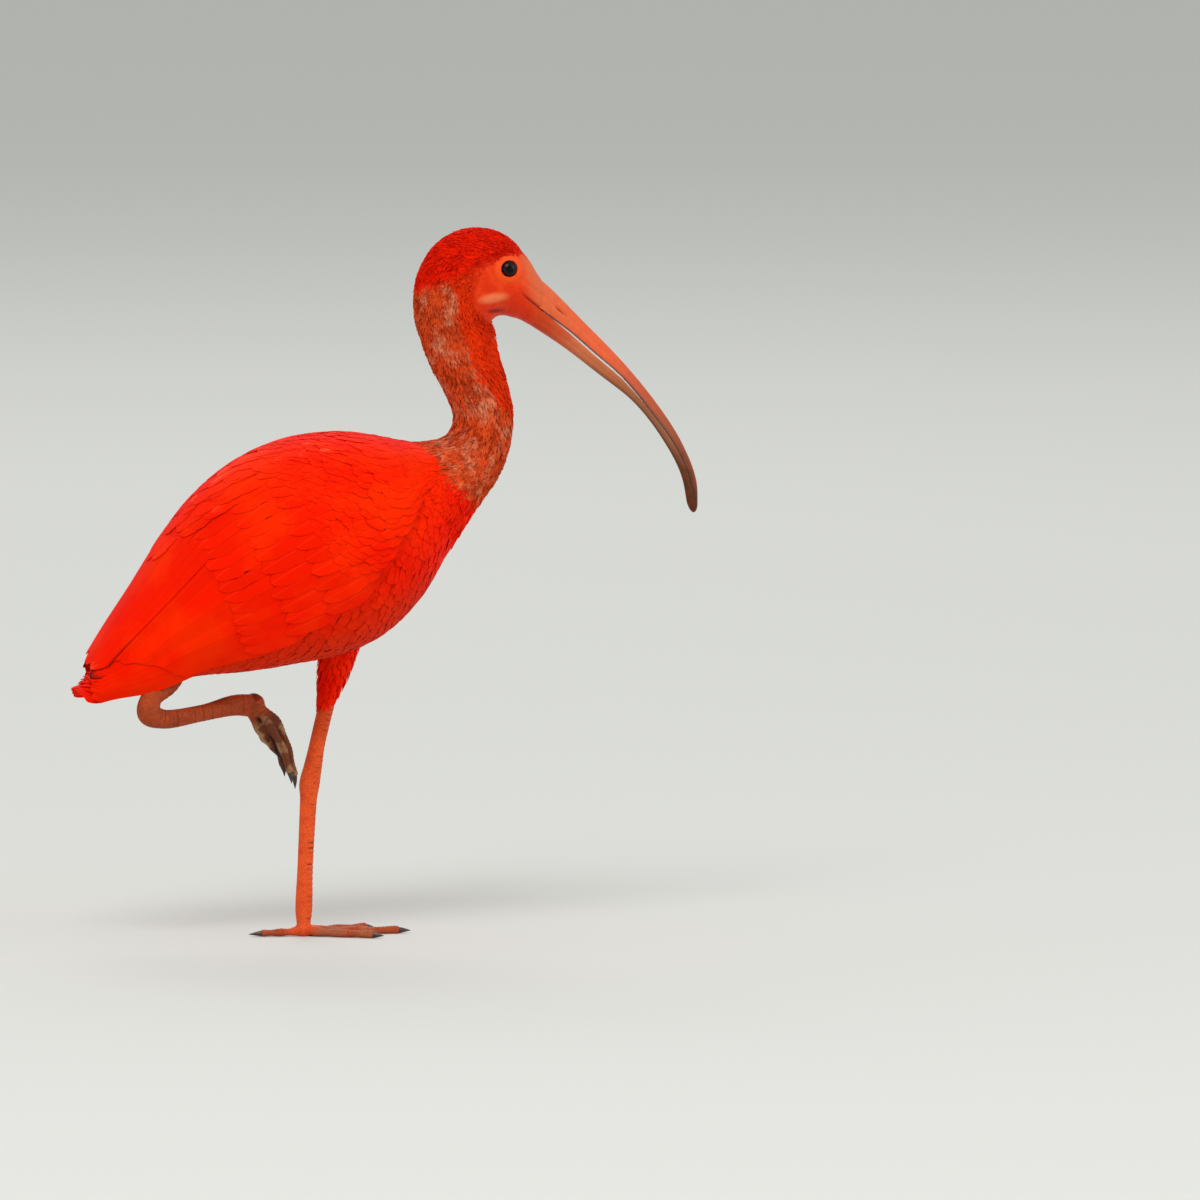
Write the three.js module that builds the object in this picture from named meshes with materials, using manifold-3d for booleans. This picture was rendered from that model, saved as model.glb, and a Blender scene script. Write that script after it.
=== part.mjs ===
// Scarlet ibis wading on its left leg, the right leg raised and folded under the tail.
// Millimetres, +X is ahead of the bird, +Y is its left, +Z is up.
// The origin is the middle of the standing foot's sole.

import * as THREE from "three";
import { mergeVertices } from "three/addons/utils/BufferGeometryUtils.js";
import Module from "manifold-3d";

const wasm = await Module();
wasm.setup();

// Driving sizes

const GAP = 0.3; // between pieces that touch
const TOLERANCE = 0.08; // slivers and flat triangles below it are merged
const TRUNK_PITCH = THREE.MathUtils.degToRad(30); // the trunk's rise from tail to breast
const RAISED = -1; // side of the raised leg, the bird's right
const STANDING = 1; // side of the standing leg, the bird's left

// Trunk of flesh: along, belly and back in the pitched trunk frame, then half width.
const TRUNK = [
  [-34, 180, 185, 7],
  [-20, 174.5, 190, 12],
  [0, 168.5, 202, 17],
  [20, 161.5, 217, 23],
  [50, 147, 235, 35],
  [75, 137, 245, 44],
  [100, 128, 249.5, 49],
  [127, 125.5, 248, 51],
  [155, 132.5, 238.5, 49],
  [179, 145.5, 223.5, 43.5],
];

// Neck and head: back line x z, throat line x z, half width.
const NECK = [
  [65.2, 281, 101, 243, 31],
  [77, 281.8, 113.5, 260, 25],
  [84, 284, 119.8, 274.4, 20],
  [88.5, 291, 122.5, 288, 16.5],
  [88, 299, 122.6, 299.5, 15.5],
  [82, 312, 119, 316, 15.5],
  [76, 323, 114, 333, 16],
  [70, 338, 112.5, 344, 16.5],
  [65.8, 352, 111, 349.5, 17],
  [67.3, 376, 112.5, 351.5, 18],
  [80, 395.5, 115, 352.5, 18.5],
  [99, 403, 118.5, 352.5, 18],
  [118, 399, 122.5, 351.5, 16.5],
  [130.5, 387, 127, 350.2, 14],
  [137.5, 376, 132, 347.5, 11.5],
  [143, 369.5, 137, 344.5, 9],
];

// Folded wings as a shell: along, underside and back in the trunk frame, then half width.
// Only its upper part is feathered, down to WING.lowDegrees.
const WING_SHELL = [
  [-46, 177, 195, 19],
  [-30, 166, 203.5, 25],
  [-10, 155, 214, 32],
  [15, 150, 226, 38],
  [40, 142, 238.5, 46],
  [70, 131, 250.5, 53],
  [100, 126, 255.5, 56],
  [130, 125.5, 252.5, 57],
  [155, 132.5, 243, 54],
  [180, 146, 227.5, 47.5],
  [204, 158, 209.5, 35],
];

const BILL = {
  culmen: [[141, 371.5], [165, 348], [188, 324.5], [207.5, 301], [222, 279], [231, 256.7], [232, 238]],
  gonys: [[133, 347], [152, 334.5], [173, 318.5], [194.4, 301.4], [210, 282], [222, 260], [229.5, 238]],
  mouth: [[128.2, 363.2], [154.5, 343.7], [171.5, 329.1], [188.3, 314.5], [205.2, 294.5], [216.5, 278.9],
    [225, 262.4], [230.8, 240], [230.9, 226]],
  halfWidth: [9.3, 5.6, 4.6, 4.1, 3.6, 3, 2],
  mouthGap: [0.6, 0.5, 0.8, 1.3, 1.2, 0.7, 0.45, 0.4, 0.4],
};

const EYE = { x: 117.3, z: 380.1, out: 11.8, radius: 5.7, lidOut: 4.4, lidRadius: 5.2, lidThick: 1.2 };

const TARSUS_JOINT = new THREE.Vector3(6.5, 11, 86.4); // standing ankle
const RAISED_ANKLE = new THREE.Vector3(-95.4, -25, 132.3);
const RAISED_TOE_JOINT = new THREE.Vector3(-28, 5, 132);
const SOLE_HEIGHT = 9; // where the standing tarsus meets the foot

// Toes: length without the claw, splay from straight ahead, root and end radius, claw length.
const TOES = [
  { length: 24, splay: 176, root: 2.7, end: 2, claw: 8 },
  { length: 42, splay: -31, root: 3, end: 2.2, claw: 7 },
  { length: 56, splay: 1, root: 3.2, end: 2.3, claw: 8 },
  { length: 48, splay: 29, root: 3, end: 2.2, claw: 7 },
];

const COLOURS = {
  scarlet: 0xe8210a,
  neck: 0xa8412c,
  crown: 0xc01408,
  bill: 0xb4624c,
  leg: 0xc9421c,
  claw: 0x2b2320,
  eye: 0x160c0a,
};

// Frames and curves

const vector = (x, y, z) => new THREE.Vector3(x, y, z);

function fromTrunk(along, rise, y = 0) {
  const cos = Math.cos(TRUNK_PITCH);
  const sin = Math.sin(TRUNK_PITCH);
  return vector(along * cos - rise * sin, y, along * sin + rise * cos);
}

function curveOf(points) {
  return new THREE.CatmullRomCurve3(points, false, "centripetal");
}

function lerp(from, to, t) {
  return from + (to - from) * t;
}

// A value from a table's column, eased between its rows by their first column.
function tableValue(rows, at, column) {
  let index = 0;
  while (index < rows.length - 2 && at > rows[index + 1][0]) index += 1;
  const slope = (i) => {
    const before = rows[Math.max(i - 1, 0)];
    const after = rows[Math.min(i + 1, rows.length - 1)];
    return (after[column] - before[column]) / (after[0] - before[0]);
  };
  const span = rows[index + 1][0] - rows[index][0];
  const t = THREE.MathUtils.clamp((at - rows[index][0]) / span, 0, 1);
  const t2 = t * t;
  const t3 = t2 * t;
  return rows[index][column] * (2 * t3 - 3 * t2 + 1) + slope(index) * span * (t3 - 2 * t2 + t)
    + rows[index + 1][column] * (3 * t2 - 2 * t3) + slope(index + 1) * span * (t3 - t2);
}

// A small repeatable random draw, so that the feathers vary but never change.
function randomFrom(seed) {
  let state = seed;
  return () => {
    state = (state * 16807) % 2147483647;
    return state / 2147483647;
  };
}

// Solids

function solidOf(geometry) {
  geometry.deleteAttribute("normal");
  geometry.deleteAttribute("uv");
  const merged = mergeVertices(geometry, 1e-3);
  const place = merged.getAttribute("position");
  const index = Array.from(merged.getIndex().array);
  const corner = (i) => vector(0, 0, 0).fromBufferAttribute(place, index[i]);
  let volume = 0;
  const triangles = [];
  for (let i = 0; i < index.length; i += 3) {
    const distinct = new Set(index.slice(i, i + 3));
    if (distinct.size < 3) continue;
    triangles.push(...index.slice(i, i + 3));
    volume += corner(i).dot(corner(i + 1).cross(corner(i + 2)));
  }
  if (volume < 0) triangles.reverse();
  return new wasm.Manifold(new wasm.Mesh({
    numProp: 3,
    vertProperties: new Float32Array(place.array),
    triVerts: new Uint32Array(triangles),
  }));
}

function geometryOf(solid) {
  const mesh = solid.getMesh();
  const geometry = new THREE.BufferGeometry();
  geometry.setAttribute("position", new THREE.BufferAttribute(new Float32Array(mesh.vertProperties), 3));
  geometry.setIndex(new THREE.BufferAttribute(new Uint32Array(mesh.triVerts), 1));
  geometry.computeVertexNormals();
  return geometry;
}

function largest(solid) {
  const pieces = solid.decompose();
  return pieces.reduce((best, piece) => (piece.volume() > best.volume() ? piece : best));
}

function unionOf(solids) {
  return solids.reduce((sum, solid) => sum.add(solid));
}

// The two sides of a plane, each half a gap away from it.
function sidesOf(solid, point, normal) {
  const unit = normal.clone().normalize();
  const offset = point.dot(unit);
  return {
    ahead: solid.trimByPlane(unit.toArray(), offset + GAP / 2),
    behind: solid.trimByPlane(unit.clone().negate().toArray(), GAP / 2 - offset),
  };
}

// A closed skin through sections, each a centre with its half axes across and up.
function loft(sides, sections) {
  const rings = sections.length + 1;
  const geometry = new THREE.SphereGeometry(1, sides, rings);
  const position = geometry.getAttribute("position");
  for (let ring = 0; ring <= rings; ring += 1) {
    const section = sections[THREE.MathUtils.clamp(ring - 1, 0, sections.length - 1)];
    const size = ring === 0 || ring === rings ? 0 : 1;
    for (let side = 0; side <= sides; side += 1) {
      const angle = ((side % sides) / sides) * 2 * Math.PI;
      const point = section.centre.clone();
      point.addScaledVector(section.across, size * Math.sin(angle));
      point.addScaledVector(section.up, size * Math.cos(angle));
      position.setXYZ(ring * (sides + 1) + side, point.x, point.y, point.z);
    }
  }
  return solidOf(geometry);
}

// A limb along points, with its half depth and half width at each.
function limb(points, depths, widths, sides, steps, across = vector(0, 1, 0)) {
  const path = curveOf(points);
  const sizes = curveOf(depths.map((depth, i) => vector(depth, widths[i], 0)));
  const sections = [];
  for (let step = 0; step <= steps; step += 1) {
    const t = step / steps;
    const ahead = path.getTangent(t);
    const up = ahead.clone().cross(across).normalize();
    const size = sizes.getPoint(t);
    sections.push({
      centre: path.getPoint(t),
      across: ahead.clone().cross(up).normalize().multiplyScalar(size.y),
      up: up.multiplyScalar(size.x),
    });
  }
  return loft(sides, sections);
}

// Trunk, neck and head in one skin

function fleshSections(grow) {
  const rows = [
    ...TRUNK.map(([along, belly, back, half]) => [fromTrunk(along, back), fromTrunk(along, belly), half]),
    ...NECK.map(([backX, backZ, throatX, throatZ, half]) => [
      vector(backX, 0, backZ), vector(throatX, 0, throatZ), half,
    ]),
  ];
  const backs = curveOf(rows.map((row) => row[0]));
  const bellies = curveOf(rows.map((row) => row[1]));
  const halves = curveOf(rows.map((row) => vector(row[2], 0, 0)));
  const steps = 2 * (rows.length - 1);
  const sections = [];
  for (let step = 0; step <= steps; step += 1) {
    const t = step / steps;
    const back = backs.getPoint(t);
    const belly = bellies.getPoint(t);
    const up = back.clone().sub(belly).multiplyScalar(0.5);
    up.setLength(up.length() + grow);
    sections.push({
      centre: back.clone().add(belly).multiplyScalar(0.5),
      across: vector(0, halves.getPoint(t).x + grow, 0),
      up,
    });
  }
  return sections;
}

const FLESH_SIDES = 28;

function fleshWhole(grow = 0) {
  return loft(FLESH_SIDES, fleshSections(grow));
}

// Cuts between tail, torso, lower neck, upper neck and head.
const CUTS = {
  tail: { point: fromTrunk(12, 190), normal: fromTrunk(1, 0) },
  neckBase: { point: vector(95, 0, 271), normal: vector(0.51, 0, 0.86) },
  neckMiddle: { point: vector(104, 0, 303), normal: vector(-0.12, 0, 1) },
  headBase: { point: vector(90, 0, 343), normal: vector(-0.1, 0, 1) },
  billBase: { point: vector(139.5, 0, 358), normal: vector(0.79, 0, -0.24) },
};

// Bill

function billWhole() {
  const lift = ([x, z]) => vector(x, 0, z);
  const inside = vector(-7, 0, 4.5); // the root sunk into the head
  const culmen = curveOf([lift(BILL.culmen[0]).add(inside), ...BILL.culmen.map(lift)]);
  const gonys = curveOf([lift(BILL.gonys[0]).add(inside), ...BILL.gonys.map(lift)]);
  const halves = curveOf([BILL.halfWidth[0], ...BILL.halfWidth].map((half) => vector(half, 0, 0)));
  const sections = [];
  const steps = 18;
  for (let step = 0; step <= steps; step += 1) {
    const t = step / steps;
    const top = culmen.getPoint(t);
    const bottom = gonys.getPoint(t);
    sections.push({
      centre: top.clone().add(bottom).multiplyScalar(0.5),
      across: vector(0, halves.getPoint(t).x, 0),
      up: top.clone().sub(bottom).multiplyScalar(0.5),
    });
  }
  return loft(14, sections);
}

// The slit between the mandibles, which runs back into the cheek as the line of the mouth.
function mouthSlit() {
  const line = curveOf(BILL.mouth.map(([x, z]) => vector(x, 0, z)));
  const gaps = curveOf(BILL.mouthGap.map((gap) => vector(gap, 0, 0)));
  const upper = [];
  const lower = [];
  const steps = 16;
  for (let step = 0; step <= steps; step += 1) {
    const t = step / steps;
    const ahead = line.getTangent(t);
    const side = new THREE.Vector2(-ahead.z, ahead.x).multiplyScalar(gaps.getPoint(t).x / 2);
    const point = line.getPoint(t);
    upper.push(new THREE.Vector2(point.x + side.x, point.z + side.y));
    lower.unshift(new THREE.Vector2(point.x - side.x, point.z - side.y));
  }
  const width = 50;
  const slit = new THREE.ExtrudeGeometry(new THREE.Shape([...upper, ...lower]), {
    depth: width, bevelEnabled: false,
  });
  slit.rotateX(Math.PI / 2);
  slit.translate(0, width / 2, 0);
  return solidOf(slit);
}

function nostril(side) {
  const hole = new THREE.SphereGeometry(1, 8, 6);
  hole.scale(4.2, 1.4, 0.8);
  hole.rotateY(THREE.MathUtils.degToRad(44));
  hole.translate(152.5, side * 5.6, 353.5);
  return solidOf(hole);
}

// Eyes and their lids

function eyeBall(side, grow = 0) {
  const ball = new THREE.SphereGeometry(EYE.radius + grow, 12, 8);
  ball.rotateX(Math.PI / 2);
  ball.translate(EYE.x, side * EYE.out, EYE.z);
  return solidOf(ball);
}

function lidRing(side) {
  const ring = new THREE.TorusGeometry(EYE.lidRadius, EYE.lidThick, 6, 16);
  ring.rotateX(Math.PI / 2);
  ring.scale(1.08, 1, 0.96);
  ring.rotateZ(side * -0.12);
  ring.translate(EYE.x, side * (EYE.out + EYE.lidOut), EYE.z);
  return solidOf(ring);
}

function headPieces(headFlesh) {
  const skull = unionOf([headFlesh, billWhole(), lidRing(RAISED), lidRing(STANDING)]);
  const eyes = unionOf([eyeBall(RAISED, GAP), eyeBall(STANDING, GAP)]);
  const carved = skull.subtract(mouthSlit()).subtract(eyes);
  const { ahead, behind } = sidesOf(carved, CUTS.billBase.point, CUTS.billBase.normal);
  const mandibles = ahead.decompose().sort((one, other) => other.volume() - one.volume()).slice(0, 2);
  mandibles.sort((one, other) => other.boundingBox().max[2] - one.boundingBox().max[2]);
  const upper = mandibles[0].subtract(nostril(RAISED)).subtract(nostril(STANDING));
  return { head: largest(behind), upper: largest(upper), lower: mandibles[1] };
}

// Wings

// A point of the folded wing's shell: along the trunk, degrees from the back line, height above it.
function onWing(along, degrees, lift, side) {
  const belly = tableValue(WING_SHELL, along, 1);
  const back = tableValue(WING_SHELL, along, 2);
  const half = tableValue(WING_SHELL, along, 3);
  const angle = THREE.MathUtils.degToRad(degrees);
  const rise = (belly + back) / 2 + ((back - belly) / 2 + lift) * Math.cos(angle);
  return fromTrunk(along, rise, side * (half + lift) * Math.sin(angle));
}

// Millimetres round the shell for one degree.
function degreeLength(along, degrees) {
  const deep = (tableValue(WING_SHELL, along, 2) - tableValue(WING_SHELL, along, 1)) / 2;
  const half = tableValue(WING_SHELL, along, 3);
  const angle = THREE.MathUtils.degToRad(degrees);
  return THREE.MathUtils.degToRad(Math.hypot(half * Math.cos(angle), deep * Math.sin(angle)));
}

const WING = {
  front: 203,
  rear: -24,
  topDegrees: 2,
  lowDegrees: [[-46, 98], [-20, 106], [0, 118], [20, 129], [60, 127], [100, 121], [130, 115], [160, 104],
    [185, 84], [204, 66]],
  skinDepths: [[-46, 3], [138, 3], [172, 0.8], [204, 0.8]], // from the shell in to the arm's skin
  rootSunk: 2.4,
  clear: 1.2,
  tileSlant: 0.8,
  vaneThick: 1,
};

function wingArm(side) {
  const slab = new THREE.BoxGeometry(1, 1, 1, 15, 7, 1);
  const position = slab.getAttribute("position");
  for (let i = 0; i < position.count; i += 1) {
    const u = position.getX(i) + 0.5;
    const v = position.getY(i) + 0.5;
    const outer = position.getZ(i) > 0;
    const round = Math.pow(Math.abs(2 * v - 0.8), 2.6);
    const front = WING.front - 16 * round;
    const along = lerp(WING.rear + 10 * v, front, u);
    const low = tableValue(WING.lowDegrees, along, 1);
    const skin = tableValue(WING.skinDepths, along, 1);
    const thick = THREE.MathUtils.clamp(lerp(6, 13, (along + 10) / 50), 6, 13);
    const point = onWing(along, lerp(WING.topDegrees, low, v), outer ? -skin : -thick, side);
    position.setXYZ(i, point.x, point.y, point.z);
  }
  return solidOf(slab);
}

// Where a vane's rows lie along it, for short and for long feathers.
const SHORT_ROWS = [0, 0.4, 0.74, 0.93, 1];
const LONG_ROWS = [0, 0.25, 0.5, 0.74, 0.93, 1];

// A vane's share of its full width: narrow at the root, rounded at the tip.
function vaneWidth(t) {
  const rounding = Math.max(0, (t - 0.74) / 0.26);
  return lerp(0.6, 1, THREE.MathUtils.smoothstep(t, 0, 0.45)) * Math.sqrt(1 - 0.96 * rounding ** 2);
}

// A feather vane: place(t, w, h) puts its length t, its width w from -1 to 1 and its height h.
// Both faces are the same sheet of triangles, so that a curved vane never cuts itself.
function vane(place, thick, rows) {
  const last = rows.length - 1;
  const faces = [1, -1].map((face) => {
    const sheet = new THREE.PlaneGeometry(1, 1, 2, last);
    const position = sheet.getAttribute("position");
    rows.forEach((t, row) => {
      for (let column = 0; column <= 2; column += 1) {
        const edge = column !== 1 || row === 0 || row === last;
        const point = place(t, (column - 1) * vaneWidth(t), edge ? 0 : face * (thick / 2));
        position.setXYZ(row * 3 + column, point.x, point.y, point.z);
      }
    });
    return { position: Array.from(position.array), index: Array.from(sheet.getIndex().array) };
  });
  const count = faces[0].position.length / 3;
  const body = new THREE.BufferGeometry();
  const places = [...faces[0].position, ...faces[1].position];
  body.setAttribute("position", new THREE.Float32BufferAttribute(places, 3));
  body.setIndex([...faces[0].index, ...faces[1].index.reverse().map((i) => i + count)]);
  return solidOf(body);
}

// Tiers of one wing: how many vanes, the first and last root and tip as [along, degrees],
// half width of the first and last vane, its share left at the tip, and the tips' height.
const WING_TIERS = [
  { // primaries
    count: 4, rows: LONG_ROWS, roots: [[60, 100], [44, 121]], tips: [[-28, 48], [-45, 84]],
    half: [8.5, 7.5], tipShare: 0.7, lift: 1.2,
  },
  { // secondaries
    count: 6, rows: LONG_ROWS, roots: [[100, 52], [86, 119]], tips: [[-16, 46], [6, 108]],
    half: [12, 9], tipShare: 0.62, lift: 1.8,
  },
  { // tertials
    count: 3, rows: LONG_ROWS, roots: [[100, 13], [92, 42]], tips: [[-31, 16], [-20, 44]],
    half: [12, 12], tipShare: 0.62, lift: 2.4,
  },
  { // greater coverts
    count: 6, rows: SHORT_ROWS, roots: [[118, 38], [102, 115]], tips: [[60, 38], [54, 113]],
    half: [10.5, 8.5], tipShare: 1, lift: 2.7,
  },
  { // median coverts
    count: 6, rows: SHORT_ROWS, roots: [[150, 32], [136, 106]], tips: [[96, 34], [92, 109]],
    half: [10.5, 8.5], tipShare: 1, lift: 2.7,
  },
  { // scapulars
    count: 4, rows: SHORT_ROWS, roots: [[168, 14], [116, 16]], tips: [[112, 17], [46, 21]],
    half: [12, 12], tipShare: 1, lift: 2.8,
  },
];

// How high a vane lies over the arm's skin: its root is sunk, then it rises evenly to its tip.
function vaneHeight(t, lift) {
  const out = 0.28; // share of the length at which it has come out
  if (t < out) return lerp(-WING.rootSunk, WING.clear, t / out);
  return lerp(WING.clear, lift, (t - out) / (1 - out));
}

// Neighbours in a tier overlap like tiles: each vane's lower edge stands over the next one.
function wingVane(tier, place, random, side) {
  const jitter = (size) => (random() - 0.5) * size;
  const mix = (ends, axis) => lerp(ends[0][axis], ends[1][axis], place);
  const root = [mix(tier.roots, 0) + jitter(4), mix(tier.roots, 1) + jitter(1)];
  const tip = [mix(tier.tips, 0) + jitter(5), mix(tier.tips, 1) + jitter(1.5)];
  const half = lerp(tier.half[0], tier.half[1], place) * (1 + jitter(0.08));
  return vane((t, w, h) => {
    const along = lerp(root[0], tip[0], t);
    const middle = lerp(root[1], tip[1], t);
    const degrees = middle + (w * half * lerp(1, tier.tipShare, t)) / degreeLength(along, middle);
    const height = vaneHeight(t, tier.lift) + WING.tileSlant * w;
    return onWing(along, degrees, height - tableValue(WING.skinDepths, along, 1) + h, side);
  }, WING.vaneThick, tier.rows);
}

function wingWhole(side) {
  const random = randomFrom(side === RAISED ? 4157 : 9311);
  const vanes = WING_TIERS.flatMap((tier) => Array.from({ length: tier.count }, (_, i) => (
    wingVane(tier, i / (tier.count - 1), random, side)
  )));
  return unionOf([wingArm(side), ...vanes]);
}

// Tail

const TAIL = {
  pairs: 6, root: 14, tip: -46, rootRise: 182, tipRise: 190, halfSpread: 14, halfVane: 7.5, droop: 9.5,
  stack: 1.1, vaneThick: 0.8,
  rootSpread: 0.35, rootVane: 0.6, // spread and width at the root, as shares of those at the tip
  outerShorter: 5, // the outermost pair, against the middle one
};
const TAIL_ROOM = { start: 4, end: 6, beside: 1, above: 1.2, depth: 16 }; // the fan's outline and more

function rectrix(pair, side, random) {
  const outward = (pair + 0.35) / TAIL.pairs;
  const reach = TAIL.tip + TAIL.outerShorter * outward * outward + (random() - 0.5) * 2;
  return vane((t, w, h) => {
    const along = lerp(TAIL.root, reach, t);
    const middle = outward * lerp(TAIL.rootSpread, 1, t) * TAIL.halfSpread;
    const y = middle + w * TAIL.halfVane * lerp(TAIL.rootVane, 1, t);
    const drop = TAIL.droop * (y / (TAIL.halfSpread + TAIL.halfVane)) ** 2;
    const layer = TAIL.stack * (pair + (side === RAISED ? 0.5 : 0));
    return fromTrunk(along, lerp(TAIL.rootRise, TAIL.tipRise, t) - drop - layer + h, side * y);
  }, TAIL.vaneThick, SHORT_ROWS);
}

// The space of the whole fan, which the wing tips keep clear of.
function tailRoom() {
  const room = new THREE.BoxGeometry(1, 1, 1, 3, 6, 1);
  const position = room.getAttribute("position");
  for (let i = 0; i < position.count; i += 1) {
    const t = position.getX(i) + 0.5;
    const fan = TAIL.halfSpread * lerp(TAIL.rootSpread, 1, t) + TAIL.halfVane * lerp(TAIL.rootVane, 1, t);
    const y = 2 * position.getY(i) * (fan + TAIL_ROOM.beside);
    const drop = TAIL.droop * (y / (TAIL.halfSpread + TAIL.halfVane)) ** 2;
    const top = lerp(TAIL.rootRise, TAIL.tipRise, t) - drop + TAIL_ROOM.above;
    const depth = position.getZ(i) > 0 ? 0 : TAIL_ROOM.depth;
    const along = lerp(TAIL.root + TAIL_ROOM.start, TAIL.tip - TAIL_ROOM.end, t);
    const point = fromTrunk(along, top - depth, y);
    position.setXYZ(i, point.x, point.y, point.z);
  }
  return solidOf(room);
}

function tailWhole(rump) {
  const random = randomFrom(2749);
  const vanes = [];
  for (let pair = TAIL.pairs - 1; pair >= 0; pair -= 1) {
    vanes.push(rectrix(pair, RAISED, random), rectrix(pair, STANDING, random));
  }
  return unionOf([rump, ...vanes]);
}

// Legs

function grown(sizes, grow) {
  return sizes.map((size) => size + grow);
}

function standingLeg(grow = 0) {
  const hip = vector(29.2, 19, 178);
  const featherEnd = vector(15.9, 16.5, 126);
  const upper = limb(
    [hip, vector(23.3, 19.5, 152), featherEnd, vector(14.6, 15.3, 119)],
    grown([13.2, 9.9, 5.3, 4.4], grow), grown([11, 9, 5.3, 4.2], grow), 12, 8,
  );
  const lower = limb(
    [vector(18, 17, 131), vector(12, 14, 109.6), vector(8.6, 12.2, 95), TARSUS_JOINT, vector(5.6, 10, 77),
      vector(2.6, 5, 42), vector(0.8, 1.4, 16), vector(0.3, 0.4, 5)],
    grown([4.6, 4.5, 5.3, 5.9, 4.9, 4.5, 4.9, 3.6], grow),
    grown([4.2, 3.8, 4.6, 5, 3.6, 3.2, 4.2, 3.4], grow), 10, 22,
  );
  return { upper, lower };
}

function raisedLeg(grow = 0) {
  const knee = fromTrunk(46, 190, -21);
  const featherEnd = fromTrunk(13, 174.5, -21);
  const upper = limb(
    [knee, fromTrunk(28, 182, -21), featherEnd, fromTrunk(8, 171.5, -21.5)],
    grown([13, 10.5, 6.8, 4.6], grow), grown([10, 8.5, 5.8, 4.2], grow), 12, 6,
  );
  const lower = limb(
    [fromTrunk(18, 177, -21), fromTrunk(2, 169, -22), vector(-93.5, -24, 140.5), RAISED_ANKLE,
      vector(-87.5, -22, 128.2), vector(-62, -10.5, 129.8), vector(-40, -0.5, 133), RAISED_TOE_JOINT],
    grown([5, 5, 6, 7, 5.6, 4.8, 6, 6.6], grow),
    grown([4.2, 4, 4.6, 5, 3.6, 3.2, 4.4, 4.8], grow), 10, 24,
  );
  return { upper, lower };
}

// One toe along its own path, with a swelling at each joint and a flat end for the claw.
function toe(path, size) {
  const steps = 7;
  const across = vector(0, 0, 1);
  const sections = [];
  for (let step = 0; step <= steps; step += 1) {
    const t = step / steps;
    const swell = 1 + 0.1 * Math.cos(t * 6 * Math.PI);
    const radius = lerp(size.root, size.end, t) * swell;
    const ahead = path.getTangent(t);
    const side = ahead.clone().cross(across).normalize();
    sections.push({
      centre: path.getPoint(t),
      across: side.clone().multiplyScalar(radius),
      up: side.clone().cross(ahead).normalize().multiplyScalar(radius),
    });
  }
  return loft(8, sections);
}

function claw(path, size) {
  const tip = path.getPoint(1);
  const ahead = path.getTangent(1);
  const start = tip.clone().addScaledVector(ahead, GAP);
  const down = size.hook;
  const points = [
    start,
    start.clone().addScaledVector(ahead, size.claw * 0.5).addScaledVector(down, size.claw * 0.02),
    start.clone().addScaledVector(ahead, size.claw).addScaledVector(down, size.claw * 0.14),
  ];
  const curve = curveOf(points);
  const sections = [];
  const steps = 4;
  for (let step = 0; step <= steps; step += 1) {
    const t = step / steps;
    const radius = lerp(size.end * 0.8, 0.35, t);
    const forward = step === 0 ? ahead : curve.getTangent(t);
    const side = forward.clone().cross(down).normalize();
    sections.push({
      centre: curve.getPoint(t),
      across: side.clone().multiplyScalar(radius),
      up: side.clone().cross(forward).normalize().multiplyScalar(radius),
    });
  }
  return loft(6, sections);
}

function standingToePath(size) {
  const angle = THREE.MathUtils.degToRad(size.splay);
  const reach = vector(Math.cos(angle), Math.sin(angle), 0).multiplyScalar(size.length);
  const at = (share, z) => reach.clone().multiplyScalar(share).setZ(z);
  return curveOf([at(0, 4.2), at(0.18, 2.7), at(0.55, 2.1), at(1, 1.9)]);
}

function web(from, to, thick) {
  const spread = 0.34;
  const tips = [from, to].map((size) => standingToePath(size).getPoint(spread));
  const shape = new THREE.Shape([
    new THREE.Vector2(-2, 0),
    new THREE.Vector2(tips[0].x, tips[0].y),
    new THREE.Vector2((tips[0].x + tips[1].x) * 0.4, (tips[0].y + tips[1].y) * 0.4),
    new THREE.Vector2(tips[1].x, tips[1].y),
  ]);
  const sheet = new THREE.ExtrudeGeometry(shape, { depth: thick, bevelEnabled: false });
  sheet.translate(0, 0, 0.9);
  return solidOf(sheet);
}

function standingFoot(stub) {
  const toes = TOES.map((size) => toe(standingToePath(size), size));
  const pad = new THREE.SphereGeometry(1, 12, 8);
  pad.scale(5.4, 5, 4.6);
  pad.translate(0.6, 0, 3.6);
  const webs = [web(TOES[1], TOES[2], 1.2), web(TOES[2], TOES[3], 1.2)];
  const whole = unionOf([stub, solidOf(pad), ...toes, ...webs]);
  return whole.trimByPlane([0, 0, 1], 0);
}

// The raised toes hang in a loose bunch: each bends over its first joint and runs to its tip.
const RAISED_TOES = [
  { bend: vector(-24.5, 5.5, 118), tip: vector(-16, 4.5, 107) },
  { bend: vector(-20, 8.8, 120.5), tip: vector(-9.5, 9, 97) },
  { bend: vector(-15, 4, 122.5), tip: vector(-4.5, 3, 91.5) },
  { bend: vector(-19, -0.8, 120), tip: vector(-8, -2, 94) },
];

function raisedToePath(index) {
  const { bend, tip } = RAISED_TOES[index];
  const root = RAISED_TOE_JOINT.clone().add(index === 0 ? vector(-2, 0, -3) : vector(1, 0, 1));
  const low = bend.clone().lerp(tip, 0.5).add(vector(index === 0 ? -0.5 : 1.4, 0, 0));
  return curveOf([root, bend, low, tip]);
}

function raisedFoot(stub) {
  const toes = TOES.map((size, index) => toe(raisedToePath(index), size));
  const pad = new THREE.SphereGeometry(1, 12, 8);
  pad.scale(6.6, 5.6, 7.4);
  pad.translate(RAISED_TOE_JOINT.x + 0.5, RAISED_TOE_JOINT.y, RAISED_TOE_JOINT.z);
  return unionOf([stub, solidOf(pad), ...toes]);
}

// The whole bird

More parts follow.
